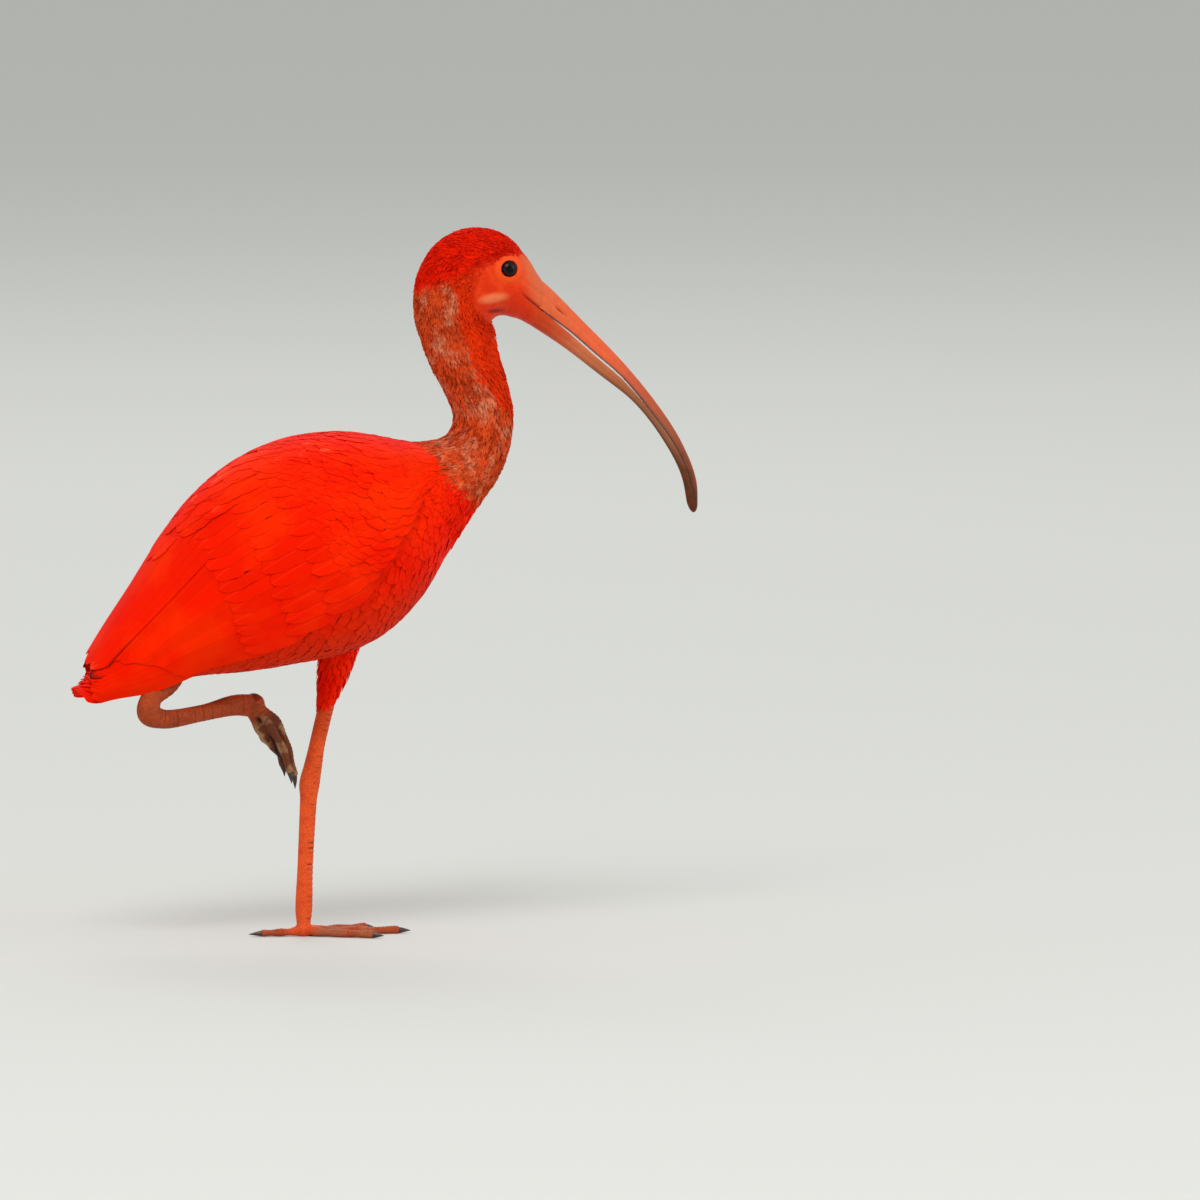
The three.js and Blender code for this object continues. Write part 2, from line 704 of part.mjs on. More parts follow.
function material(colour, roughness) {
  return new THREE.MeshStandardMaterial({ color: colour, roughness, metalness: 0 });
}

const ibis = new THREE.Group();
ibis.name = "scarlet_ibis";

function addNode(name, solid, colour, roughness = 0.75) {
  const body = largest(largest(solid).simplify(TOLERANCE));
  const mesh = new THREE.Mesh(geometryOf(body), material(colour, roughness));
  mesh.name = name;
  ibis.add(mesh);
}

function buildBody() {
  const parted = sidesOf(fleshWhole(), CUTS.neckBase.point, CUTS.neckBase.normal);
  const trunk = sidesOf(parted.behind, CUTS.tail.point, CUTS.tail.normal);
  const neck = sidesOf(parted.ahead, CUTS.neckMiddle.point, CUTS.neckMiddle.normal);
  const top = sidesOf(neck.ahead, CUTS.headBase.point, CUTS.headBase.normal);
  return {
    torso: trunk.ahead,
    rump: trunk.behind,
    neckLower: neck.behind,
    neckUpper: top.behind,
    head: top.ahead,
  };
}

const body = buildBody();
const face = headPieces(body.head);
addNode("head", face.head, COLOURS.crown);
addNode("bill_upper", face.upper, COLOURS.bill, 0.5);
addNode("bill_lower", face.lower, COLOURS.bill, 0.5);
addNode("eye_right", eyeBall(RAISED), COLOURS.eye, 0.1);
addNode("eye_left", eyeBall(STANDING), COLOURS.eye, 0.1);
addNode("neck_upper", body.neckUpper, COLOURS.neck);
addNode("neck_lower", body.neckLower, COLOURS.neck);
addNode("torso", body.torso, COLOURS.scarlet);

const fleshRoom = fleshWhole(GAP);
const tail = tailWhole(body.rump);
const tailAlone = sidesOf(tail, CUTS.tail.point, CUTS.tail.normal).behind;
addNode("tail", tailAlone, COLOURS.scarlet);

const leftLeg = standingLeg();
const leftFeatherEnd = { point: vector(15.6, 15.8, 122.5), normal: vector(0.3, 0.2, 1) };
const leftThigh = sidesOf(leftLeg.upper, leftFeatherEnd.point, leftFeatherEnd.normal).ahead;
const leftShinAndTarsus = sidesOf(leftLeg.lower, leftFeatherEnd.point, leftFeatherEnd.normal).behind;
const leftAnkle = sidesOf(leftShinAndTarsus, vector(5.9, 10.4, 80.5), vector(0.1, 0.1, 1));
const leftTarsusAndStub = sidesOf(leftAnkle.behind, vector(0, 0, SOLE_HEIGHT), vector(0, 0, 1));
addNode("thigh_left", leftThigh.subtract(fleshRoom), COLOURS.scarlet);
addNode("shin_left", leftAnkle.ahead, COLOURS.leg, 0.55);
addNode("tarsus_left", leftTarsusAndStub.ahead, COLOURS.leg, 0.55);
addNode("foot_left", standingFoot(leftTarsusAndStub.behind), COLOURS.leg, 0.55);

const rightLeg = raisedLeg();
const rightFeatherEnd = { point: fromTrunk(10.5, 173, -24.2), normal: vector(0.15, 0, 1) };
const rightThigh = sidesOf(rightLeg.upper, rightFeatherEnd.point, rightFeatherEnd.normal).ahead;
const rightShinAndTarsus = sidesOf(rightLeg.lower, rightFeatherEnd.point, rightFeatherEnd.normal).behind;
const rightAnkle = sidesOf(rightShinAndTarsus, vector(-88.5, -23.7, 128), vector(1, 0.5, -0.35));
const toeCut = { point: vector(-33, 2.5, 131.5), normal: vector(0.93, 0.37, 0) };
const rightTarsusAndStub = sidesOf(rightAnkle.ahead, toeCut.point, toeCut.normal);
const rightFoot = sidesOf(raisedFoot(rightTarsusAndStub.ahead), toeCut.point, toeCut.normal).ahead;
const fanRoom = tailRoom();
addNode("thigh_right", rightThigh.subtract(fleshRoom).subtract(fanRoom), COLOURS.scarlet);
addNode("shin_right", rightAnkle.behind.subtract(fleshRoom).subtract(fanRoom), COLOURS.leg, 0.55);
addNode("tarsus_right", rightTarsusAndStub.behind, COLOURS.leg, 0.55);
addNode("foot_right", rightFoot, COLOURS.leg, 0.55);

TOES.forEach((size, index) => {
  const flat = standingToePath(size);
  addNode(`claw_left_${index + 1}`, claw(flat, { ...size, hook: vector(0, 0, -0.3) }), COLOURS.claw, 0.4);
  const hanging = raisedToePath(index);
  const curled = { ...size, hook: vector(-1, 0, -0.2) };
  addNode(`claw_right_${index + 1}`, claw(hanging, curled), COLOURS.claw, 0.4);
});

for (const side of [RAISED, STANDING]) {
  const half = wingWhole(side).trimByPlane([0, side, 0], GAP / 2);
  const leg = side === RAISED ? raisedLeg(GAP) : standingLeg(GAP);
  const clear = half.subtract(fleshRoom).subtract(fanRoom).subtract(leg.upper).subtract(leg.lower);
  addNode(side === RAISED ? "wing_right" : "wing_left", clear, COLOURS.scarlet);
}

export default ibis;
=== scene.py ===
# %% [markdown]
# A scarlet ibis, life size, standing on its left leg with the right leg folded up under the tail.
# The packed model gives the sizes. This file dresses it: one skin, coats of mesh feathers over it,
# a curved bill, scaly legs and glossy eyes. The bird's sizes are in millimetres, +X ahead of it, +Y
# to its left and +Z up, and they become metres only where a mesh is made.

# %% Load the frame
import math

import bmesh
import bpy
import numpy as np
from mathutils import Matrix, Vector
from mathutils.bvhtree import BVHTree


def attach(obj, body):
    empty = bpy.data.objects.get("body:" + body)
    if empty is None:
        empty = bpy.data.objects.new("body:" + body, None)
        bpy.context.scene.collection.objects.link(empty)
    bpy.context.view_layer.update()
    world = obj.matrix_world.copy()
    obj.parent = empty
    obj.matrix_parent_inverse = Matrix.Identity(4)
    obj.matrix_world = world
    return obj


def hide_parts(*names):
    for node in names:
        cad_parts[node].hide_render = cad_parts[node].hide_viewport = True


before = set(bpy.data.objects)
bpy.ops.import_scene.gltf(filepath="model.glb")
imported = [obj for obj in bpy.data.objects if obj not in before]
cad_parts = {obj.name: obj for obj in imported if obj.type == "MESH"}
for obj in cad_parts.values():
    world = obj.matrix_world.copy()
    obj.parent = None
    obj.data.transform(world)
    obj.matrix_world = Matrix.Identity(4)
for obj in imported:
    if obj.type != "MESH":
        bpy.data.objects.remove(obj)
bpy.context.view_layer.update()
MM = 0.001  # metres in a millimetre
RIGHT, LEFT = -1, 1  # sides of the bird along Y
print("nodes:", len(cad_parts))

# %% [markdown]
# The camera stands a little above the bird, which heads some degrees away from it, far off with a
# long lens. It is made first, so that every later view is framed alike. It looks along its own -Z
# axis, as a lamp does, so one function aims both.


# %% Camera
def new_object(name, data):
    """An object in the scene that shows the data."""
    made = bpy.data.objects.new(name, data)
    bpy.context.scene.collection.objects.link(made)
    return made


def aim(made, direction):
    """Turns a camera or a lamp to look along a direction."""
    made.rotation_mode = "QUATERNION"
    made.rotation_quaternion = direction.to_track_quat("-Z", "Y")


AZIMUTH = math.radians(-14)
ELEVATION = math.radians(5)
DISTANCE = 12.0  # metres, as are all places of camera, lamps and floor
FRAME_WIDTH = 0.684  # across the picture at the bird
FRAME_MIDDLE = (0.1693, 0.1915)  # the picture's middle, to the right of and above the bird's origin
SENSOR = 36  # millimetres
forward = Vector((
    -math.sin(AZIMUTH) * math.cos(ELEVATION), math.cos(AZIMUTH) * math.cos(ELEVATION), -math.sin(ELEVATION),
))
to_right = Vector((math.cos(AZIMUTH), math.sin(AZIMUTH), 0))
to_top = to_right.cross(forward)
camera = new_object("camera", bpy.data.cameras.new("camera"))
camera.data.sensor_width = SENSOR
camera.data.lens = SENSOR * DISTANCE / FRAME_WIDTH
camera.data.clip_end = 100
camera.location = to_right * FRAME_MIDDLE[0] + to_top * FRAME_MIDDLE[1] - forward * DISTANCE
aim(camera, forward)
bpy.context.scene.camera = camera
print("lens in mm:", round(camera.data.lens))

# %% [markdown]
# The body is a tube. Its stations run from the rump over the back and up the neck to the root of
# the bill, and each has a back line, a belly line and a half width. The same curve through the
# stations is used for the skin and for laying feathers, so nothing has to be fitted afterwards.


# %% Curves
def spline(points, at):
    """A centripetal curve through the points; `at` runs from 0 to the last point's number."""
    points = np.asarray(points, float)
    line = np.vstack([2 * points[0] - points[1], points, 2 * points[-1] - points[-2]])
    at = np.clip(np.asarray(at, float), 0, len(points) - 1)
    start = np.minimum(at.astype(int), len(points) - 2)
    share = (at - start)[..., None]
    p0, p1, p2, p3 = (line[start + step] for step in range(4))
    d0, d1, d2 = (
        np.sum((b - a) ** 2, axis=-1, keepdims=True) ** 0.25 for a, b in ((p0, p1), (p1, p2), (p2, p3))
    )
    d1 = np.where(d1 < 1e-4, 1, d1)
    d0 = np.where(d0 < 1e-4, d1, d0)
    d2 = np.where(d2 < 1e-4, d1, d2)
    leave = ((p1 - p0) / d0 - (p2 - p0) / (d0 + d1) + (p2 - p1) / d1) * d1
    arrive = ((p2 - p1) / d1 - (p3 - p1) / (d1 + d2) + (p3 - p2) / d2) * d1
    square, cube = share**2, share**3
    return (
        p1 * (2 * cube - 3 * square + 1) + leave * (cube - 2 * square + share)
        + p2 * (3 * square - 2 * cube) + arrive * (cube - square)
    )


def eased(rows, at, column):
    """A value from a table's column, eased between its rows by their first column."""
    rows = np.asarray(rows, float)
    at = np.clip(np.asarray(at, float), rows[0, 0], rows[-1, 0])
    start = np.clip(np.searchsorted(rows[:, 0], at) - 1, 0, len(rows) - 2)
    before = np.maximum(np.arange(len(rows)) - 1, 0)
    after = np.minimum(np.arange(len(rows)) + 1, len(rows) - 1)
    slopes = (rows[after, column] - rows[before, column]) / (rows[after, 0] - rows[before, 0])
    span = rows[start + 1, 0] - rows[start, 0]
    t = (at - rows[start, 0]) / span
    return (
        rows[start, column] * (2 * t**3 - 3 * t**2 + 1) + slopes[start] * span * (t**3 - 2 * t**2 + t)
        + rows[start + 1, column] * (3 * t**2 - 2 * t**3) + slopes[start + 1] * span * (t**3 - t**2)
    )


def smooth(low, high, value):
    """0 below low, 1 above high and an even ease between them."""
    t = np.clip((np.asarray(value, float) - low) / (high - low), 0, 1)
    return t * t * (3 - 2 * t)


def mix(one, other, share):
    return one + (other - one) * share


def unit(vectors):
    return vectors / np.maximum(np.linalg.norm(vectors, axis=-1, keepdims=True), 1e-9)


print("halfway along an ease:", smooth(0, 1, 0.5))


# %% The trunk's own frame
TRUNK_PITCH = math.radians(30)


def from_trunk(along, rise, y=0.0):
    """A point given along the pitched trunk, above its axis and to the left."""
    along, rise, y = np.broadcast_arrays(*(np.asarray(value, float) for value in (along, rise, y)))
    cos, sin = math.cos(TRUNK_PITCH), math.sin(TRUNK_PITCH)
    return np.stack([along * cos - rise * sin, y, along * sin + rise * cos], axis=-1)


def to_trunk(points):
    """Along and rise of points in the pitched trunk frame."""
    cos, sin = math.cos(TRUNK_PITCH), math.sin(TRUNK_PITCH)
    return points[..., 0] * cos + points[..., 2] * sin, points[..., 2] * cos - points[..., 0] * sin


print("highest point of the back:", from_trunk(127, 248).round())

# %% Stations of trunk, neck and head
TRUNK = [  # along, belly, back, half width
    (-34, 180, 185, 7), (-20, 174.5, 190, 12), (0, 168.5, 202, 17), (20, 161.5, 217, 23), (50, 147, 235, 35),
    (75, 137, 245, 44), (100, 128, 249.5, 49), (127, 125.5, 248, 51), (155, 132.5, 238.5, 49),
    (179, 145.5, 223.5, 43.5),
]
NECK = [  # back line x z, throat line x z, half width
    (65.2, 281, 101, 243, 31), (77, 281.8, 113.5, 260, 25), (84, 284, 119.8, 274.4, 20),
    (88.5, 291, 122.5, 288, 16.5), (88, 299, 122.6, 299.5, 15.5), (82, 312, 119, 316, 15.5),
    (76, 323, 114, 333, 16), (70, 338, 112.5, 344, 16.5), (65.8, 352, 111, 349.5, 17),
    (67.3, 376, 112.5, 351.5, 18), (80, 395.5, 115, 352.5, 18.5), (99, 403, 118.5, 352.5, 18),
    (118, 399, 122.5, 351.5, 16.5), (130.5, 387, 127, 350.2, 14), (137.5, 376, 132, 347.5, 11.5),
    (143, 369.5, 137, 344.5, 9),
]
NECK_START = len(TRUNK)  # station numbers where the neck, and where the head, begin
HEAD_START = NECK_START + 7
LAST_STATION = len(TRUNK) + len(NECK) - 1
WING_SHELL = [  # along, underside, back, half width of the folded wings
    (-46, 177, 195, 19), (-30, 166, 203.5, 25), (-10, 155, 214, 32), (15, 150, 226, 38), (40, 142, 238.5, 46),
    (70, 131, 250.5, 53), (100, 126, 255.5, 56), (130, 125.5, 252.5, 57), (155, 132.5, 243, 54),
    (180, 146, 227.5, 47.5), (204, 158, 209.5, 35),
]
LOW_EDGE = [  # along, degrees round from the back to the wing's lower edge
    (-46, 98), (-20, 106), (0, 118), (20, 129), (60, 127), (100, 121), (130, 115), (160, 104), (185, 84),
    (204, 66),
]
print("body stations:", LAST_STATION + 1)


# %% Tubes
OVERRUN = 0.03  # share of a tube's length by which feathers may go on past its ends


class Tube:
    """A tube of close stations, each a centre with one half axis up and one to the side."""

    def __init__(self, centres, ups, sides, first, last, patch):
        self.centres, self.ups, self.sides = (np.asarray(rows, float) for rows in (centres, ups, sides))
        self.first, self.last = first, last  # what its stations are called, in even steps
        self.patch = patch  # its own box on the OFBake map: left, bottom, right, top

    def point(self, station, turn, lift=0.0):
        """The point at a station, turned from the top towards +Y, lifted off the surface."""
        station, turn, lift = np.broadcast_arrays(station, turn, lift)
        steps = len(self.centres) - 1
        place = (station - self.first) / (self.last - self.first)
        place = np.clip(place, -OVERRUN, 1 + OVERRUN) * steps
        start = np.clip(np.floor(place).astype(int), 0, steps - 1)
        share = (place - start)[..., None]
        centre, up, side = (
            mix(rows[start], rows[start + 1], share) for rows in (self.centres, self.ups, self.sides)
        )
        up = up + unit(up) * lift[..., None]
        side = side + unit(side) * lift[..., None]
        return centre + up * np.cos(turn)[..., None] + side * np.sin(turn)[..., None]

    def scale(self, station, turn):
        """Millimetres of surface for one unit of station and for one radian of turn."""
        small = (self.last - self.first) * 0.002
        station = np.clip(station, *sorted((self.first + small, self.last - small)))
        steps = [
            np.linalg.norm(self.point(station + small, at) - self.point(station - small, at), axis=-1)
            for at in (turn, np.full(np.shape(turn), math.pi / 2))
        ]
        round_it = self.point(station, turn + 0.02) - self.point(station, turn - 0.02)
        return (  # inside a tight bend the stations crowd, so a share of the side's step is the least
            np.maximum(np.maximum(steps[0], 0.3 * steps[1]) / (2 * abs(small)), 0.3),
            np.maximum(np.linalg.norm(round_it, axis=-1) / 0.04, 0.5),
        )

    def patch_place(self, station, turn):
        """Where a point of the surface lies on the OFBake map."""
        left, bottom, right, top = self.patch
        across = (np.asarray(turn) / (2 * math.pi)) % 1
        return np.stack([
            mix(left, right, across),
            mix(bottom, top, (station - self.first) / (self.last - self.first)),
        ], axis=-1)


# %% Tubes of body and wings
WING_ENDS = WING_SHELL[0][0], WING_SHELL[-1][0]


def in_plane(pairs):
    """Points of the bird's middle plane, from pairs of x and z."""
    return np.array([(x, 0.0, z) for x, z in pairs])


def body_rows(at):
    """Centres, up and side half axes of the body at station numbers."""
    trunk, neck = np.array(TRUNK, float), np.array(NECK, float)
    backs = np.vstack([from_trunk(trunk[:, 0], trunk[:, 2]), in_plane(neck[:, :2])])
    bellies = np.vstack([from_trunk(trunk[:, 0], trunk[:, 1]), in_plane(neck[:, 2:4])])
    halves = np.concatenate([trunk[:, 3], neck[:, 4]])[:, None]
    back, belly = spline(backs, at), spline(bellies, at)
    sides = np.zeros_like(back)
    sides[..., 1] = spline(halves, at)[..., 0]
    return (back + belly) / 2, (back - belly) / 2, sides


body = Tube(*body_rows(np.linspace(0, LAST_STATION, 1001)), 0, LAST_STATION, (0.01, 0.01, 0.6, 0.99))

shell_along = np.linspace(*WING_ENDS, 501)
shell_low, shell_high, shell_half = (eased(WING_SHELL, shell_along, column) for column in (1, 2, 3))
wing_tube = Tube(
    from_trunk(shell_along, (shell_low + shell_high) / 2),
    from_trunk(0, (shell_high - shell_low) / 2),
    from_trunk(0, 0, shell_half),
    *WING_ENDS, (0.62, 0.01, 0.8, 0.99),
)
print("neck starts at", body.point(np.array(NECK_START), 0.0).round())


# %% [markdown]
# Every leg part is a tube along a bent path. A museum would cast each leg; here a path through the
# joints with a depth and a width at each is enough, because the scales and joints come on top.


# %% Limbs
def limb_tube(points, depths, widths, patch, steps=240):
    """A tube along a path, with its half depth and half width at each point."""
    at = np.linspace(0, len(points) - 1, steps + 1)
    centres = spline(points, at)
    sizes = spline(np.stack([depths, widths], axis=-1), at)
    ahead = unit(np.gradient(centres, axis=0))
    ups = unit(np.cross(ahead, [0, 1, 0]))
    sides = unit(np.cross(ahead, ups))
    return Tube(centres, ups * sizes[:, :1], sides * sizes[:, 1:], 0, 1, patch)


TARSUS_JOINT = (6.5, 11, 86.4)
RAISED_ANKLE = (-95.4, -25, 132.3)
RAISED_TOE_JOINT = np.array([-28.0, 5, 132])
thigh_left = limb_tube(
    [(29.2, 19, 178), (23.3, 19.5, 152), (15.9, 16.5, 126), (14.6, 15.3, 119)],
    [13.2, 9.9, 5.3, 4.4], [11, 9, 5.3, 4.2], (0.82, 0.01, 0.9, 0.3),
)
shank_left = limb_tube(
    [(18, 17, 131), (12, 14, 109.6), (8.6, 12.2, 95), TARSUS_JOINT, (5.6, 10, 77), (2.6, 5, 42),
     (0.8, 1.4, 16), (0.3, 0.4, 5)],
    [4.6, 4.5, 5.3, 5.9, 4.9, 4.5, 4.9, 3.6], [4.2, 3.8, 4.6, 5, 3.6, 3.2, 4.2, 3.4], (0.92, 0.01, 0.99, 0.3),
)
thigh_right = limb_tube(
    [from_trunk(46, 190, -21), from_trunk(28, 182, -21), from_trunk(13, 174.5, -21),
     from_trunk(8, 171.5, -21.5)],
    [13, 10.5, 6.8, 4.6], [10, 8.5, 5.8, 4.2], (0.82, 0.32, 0.9, 0.6),
)
shank_right = limb_tube(
    [from_trunk(18, 177, -21), from_trunk(2, 169, -22), (-93.5, -24, 140.5), RAISED_ANKLE,
     (-87.5, -22, 128.2), (-62, -10.5, 129.8), (-40, -0.5, 133), RAISED_TOE_JOINT],
    [5, 5, 6, 7, 5.6, 4.8, 6, 6.6], [4.2, 4, 4.6, 5, 3.6, 3.2, 4.4, 4.8], (0.92, 0.32, 0.99, 0.6),
)
print("standing ankle at", shank_left.point(np.array(3 / 7), 0.0).round())


# %% [markdown]
# Meshes are written straight from arrays, which is quick for hundreds of thousands of faces. Each
# point can carry values, such as how far it is up its feather, for the materials to read. The map
# OFBake keeps every feather as a small patch where its root lies on an unwrap of the skin.


# %% Writing meshes
def make_piece(name, points, faces, finish, slot, values=None, places=None, corner_angle=50):
    """A smooth mesh object in metres from points in millimetres and groups of faces."""
    mesh = bpy.data.meshes.new(name)
    corners = np.concatenate([group.ravel() for group in faces])
    sizes = np.concatenate([np.full(len(group), group.shape[1]) for group in faces])
    mesh.vertices.add(len(points))
    mesh.vertices.foreach_set("co", (points * MM).astype(np.float32).ravel())
    mesh.loops.add(len(corners))
    mesh.loops.foreach_set("vertex_index", corners.astype(np.int32))
    mesh.polygons.add(len(sizes))
    mesh.polygons.foreach_set("loop_start", np.concatenate([[0], np.cumsum(sizes)[:-1]]).astype(np.int32))
    mesh.update(calc_edges=True)
    for label, data in (values or {}).items():
        mesh.attributes.new(label, "FLOAT", "POINT").data.foreach_set("value", np.float32(data).ravel())
    if places is not None:
        layer = mesh.uv_layers.new(name="OFBake")
        layer.data.foreach_set("uv", np.float32(places)[corners].ravel())
    sort_out = bmesh.new()
    sort_out.from_mesh(mesh)
    bmesh.ops.recalc_face_normals(sort_out, faces=sort_out.faces)
    sort_out.to_mesh(mesh)
    sort_out.free()
    mesh.polygons.foreach_set("use_smooth", np.ones(len(sizes), bool))
    mesh.set_sharp_from_angle(angle=math.radians(corner_angle))
    mesh.materials.append(finish)
    piece = new_object(name, mesh)
    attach(piece, "root")
    print(f"{name}: {int((sizes - 2).sum())} triangles")
    return piece


# %% Closed tubes
def full_turn(sides):
    """Even angles all the way round a ring."""
    return np.arange(sides) / sides * 2 * math.pi


def ring_grid(lengthwise, sides):
    """Two grids over rings and sides: where along it each point lies, and how far round."""
    return np.meshgrid(lengthwise, full_turn(sides), indexing="ij")


def tube_faces(rings, sides):
    """Quads between rings of points, closed all the way round."""
    ring, side = np.meshgrid(np.arange(rings - 1), np.arange(sides), indexing="ij")
    after = (side + 1) % sides
    quads = [ring * sides + side, ring * sides + after, (ring + 1) * sides + after, (ring + 1) * sides + side]
    return np.stack(quads, axis=-1).reshape(-1, 4)


def cap_faces(rings, sides):
    """Triangles that close both ends onto two extra points, added last."""
    side = np.arange(sides)
    after = (side + 1) % sides
    first, last = rings * sides, rings * sides + 1
    bottom = np.stack([after, side, np.full(sides, first)], axis=-1)
    offset = (rings - 1) * sides
    top = np.stack([offset + side, offset + after, np.full(sides, last)], axis=-1)
    return np.vstack([bottom, top])


def with_ends(rows):
    """A grid of points or values as one list, with the middles of both end rings added last."""
    ends = [rows[0].mean(axis=0), rows[-1].mean(axis=0)]
    return np.concatenate([rows.reshape(-1, *rows.shape[2:]), ends])


def closed_tubes(grids):
    """Tubes with capped ends as one list of points and their groups of faces."""
    points, faces, start = [], [], 0
    for rows in grids:
        points.append(with_ends(rows))
        faces += [make(*rows.shape[:2]) + start for make in (tube_faces, cap_faces)]
        start += len(points[-1])
    return np.vstack(points), faces


def tube_piece(name, rows, finish, slot, marks, places=None, corner_angle=50):
    """One closed tube as a piece, with values and places on the map given over its grid."""
    values = {label: with_ends(grid) for label, grid in marks.items()}
    places = None if places is None else with_ends(places)
    return make_piece(name, *closed_tubes([rows]), finish, slot, values, places, corner_angle)


print("faces of a tube of 3 rings and 4 sides:", len(tube_faces(3, 4)) + len(cap_faces(3, 4)))


# %% [markdown]
# Feathers are colour over structure: barbs run out from the shaft like the teeth of two combs. One
# group draws that comb from each feather's own length and width, and one mottles a colour, because
# plumage, skin, bill and legs all vary in patches. They are groups so that every finish shares them.


# %% Shader tools
class Net:
    """A node tree with short ways to add nodes and join them."""

    def __init__(self, tree):
        self.tree = tree

    def join(self, value, socket):
        self.tree.links.new(value, socket)

    def node(self, kind, inputs=None, **settings):
        """A node with its settings; each input is a plain value or another node's socket."""
        made = self.tree.nodes.new(kind)
        for label, value in settings.items():
            setattr(made, label, value)
        for label, value in (inputs or {}).items():
            if isinstance(value, bpy.types.NodeSocket):
                self.join(value, made.inputs[label])
            else:
                made.inputs[label].default_value = value
        return made

    def math(self, operation, one, other=0.0):
        return self.node("ShaderNodeMath", {0: one, 1: other}, operation=operation).outputs[0]

    def blend(self, share, one, other, kind="MIX"):
        made = self.node("ShaderNodeMix", {0: share, 6: one, 7: other}, data_type="RGBA", blend_type=kind)
        return made.outputs[2]

    def reach(self, value, low, high, to_low=0.0, to_high=1.0):
        names = ("Value", "From Min", "From Max", "To Min", "To Max")
        inputs = dict(zip(names, (value, low, high, to_low, to_high)))
        return self.node("ShaderNodeMapRange", inputs).outputs[0]

    def noise(self, place, scale, detail=3.0, roughness=0.55):
        inputs = {"Vector": place, "Scale": scale, "Detail": detail, "Roughness": roughness}
        return self.node("ShaderNodeTexNoise", inputs).outputs[0]

    def value(self, label):
        return self.node("ShaderNodeAttribute", attribute_name=label).outputs["Fac"]

    def place(self):
        """A point's place on its object, in metres."""
        return self.node("ShaderNodeTexCoord").outputs["Object"]


print("the net's short ways:", [name for name in vars(Net) if not name.startswith("_")])


# %% Groups for mottling and barbs
COLOUR, NUMBER, PLACE = "NodeSocketColor", "NodeSocketFloat", "NodeSocketVector"


def new_group(name, inputs, outputs):
    """An empty node group with named sockets; gives the net, its input node and its output node."""
    tree = bpy.data.node_groups.new(name, "ShaderNodeTree")
    for label, kind, value in inputs:
        tree.interface.new_socket(name=label, in_out="INPUT", socket_type=kind).default_value = value
    for label, kind in outputs:
        tree.interface.new_socket(name=label, in_out="OUTPUT", socket_type=kind)
    net = Net(tree)
    return net, net.node("NodeGroupInput").outputs, net.node("NodeGroupOutput").inputs


def mottle_group():
    """Patches of a second colour at one scale, broken up by a finer grain."""
    net, given, out = new_group("mottle", [
        ("Place", PLACE, (0, 0, 0)), ("Base", COLOUR, (1, 1, 1, 1)), ("Patch", COLOUR, (0.5, 0.5, 0.5, 1)),
        ("Size", NUMBER, 100.0), ("Amount", NUMBER, 0.5),
    ], [("Color", COLOUR)])
    large = net.noise(given["Place"], given["Size"], 4.0, 0.6)
    share = net.math("MULTIPLY", net.reach(large, 0.45, 0.62), given["Amount"])
    net.join(net.blend(share, given["Base"], given["Patch"]), out["Color"])
    return net.tree


def barbs_group():
    """Height of the barbs of a feather, and a mask for its pale shaft."""
    net, given, out = new_group("barbs", [
        ("Barb", NUMBER, 0.0), ("Across", NUMBER, 0.0), ("Spacing", NUMBER, 0.7), ("Place", PLACE, (0, 0, 0)),
    ], [("Height", NUMBER), ("Shaft", NUMBER)])
    wander = net.math("MULTIPLY", net.noise(given["Place"], 300.0), 1.4)
    line = net.math("DIVIDE", net.math("ADD", given["Barb"], wander), given["Spacing"])
    comb = net.math("SINE", net.math("MULTIPLY", line, 2 * math.pi))
    shaft = net.reach(net.math("ABSOLUTE", given["Across"]), 0.03, 0.09, 1.0, 0.0)
    height = net.math("ADD", net.math("MULTIPLY", comb, 0.25), net.math("MULTIPLY", shaft, 0.5))
    net.join(height, out["Height"])
    net.join(shaft, out["Shaft"])
    return net.tree


MOTTLE = mottle_group()
BARBS = barbs_group()


def mottled(net, place, base, patch, size, amount):
    """The mottle group placed in a tree."""
    return net.node("ShaderNodeGroup", {
        "Place": place, "Base": base, "Patch": patch, "Size": size, "Amount": amount,
    }, node_tree=MOTTLE).outputs["Color"]


print("shader groups:", [tree.name for tree in bpy.data.node_groups])

# %% [markdown]
# The markings are one group too: scarlet on the body with painted shade under the belly, a mottled
# brown red on the neck, a deep red crown. It reads where a feather is rooted, so skin and feathers
# agree wherever a gap shows the skin.

# %% Colours of the plumage
SCARLET, BRIGHT_SCARLET = (0.9, 0.009, 0.0, 1), (0.97, 0.024, 0.0, 1)
BELLY_SHADE_SCARLET, HIGHLIGHT_SCARLET = (0.52, 0.028, 0.002, 1), (1.0, 0.12, 0.045, 1)
CHEEK_RED, CHEEK_BROWN = (0.76, 0.033, 0.003, 1), (0.54, 0.018, 0.002, 1)
NECK_BROWN, NECK_RUST, NECK_TAN = (0.37, 0.032, 0.006, 1), (0.68, 0.07, 0.014, 1), (0.66, 0.21, 0.105, 1)
CROWN_SHADE, CROWN_RED = (0.56, 0.006, 0.001, 1), (0.84, 0.012, 0.001, 1)
TIP_BLACK_AND_SHADOW = (0.03, 0.006, 0.005, 1)
BARB_SHADE, SHAFT_PINK = (0.3, 0.004, 0.001, 1), (1.0, 0.12, 0.05, 1)
ROOT_ZONES = ("neck", "crown", "cheek", "belly", "pale", "dark")  # set where a feather is rooted
ZONES = (*ROOT_ZONES, "shade", "reach")  # shade differs by feather, reach runs from root to tip
print("zones that the markings read:", ZONES)


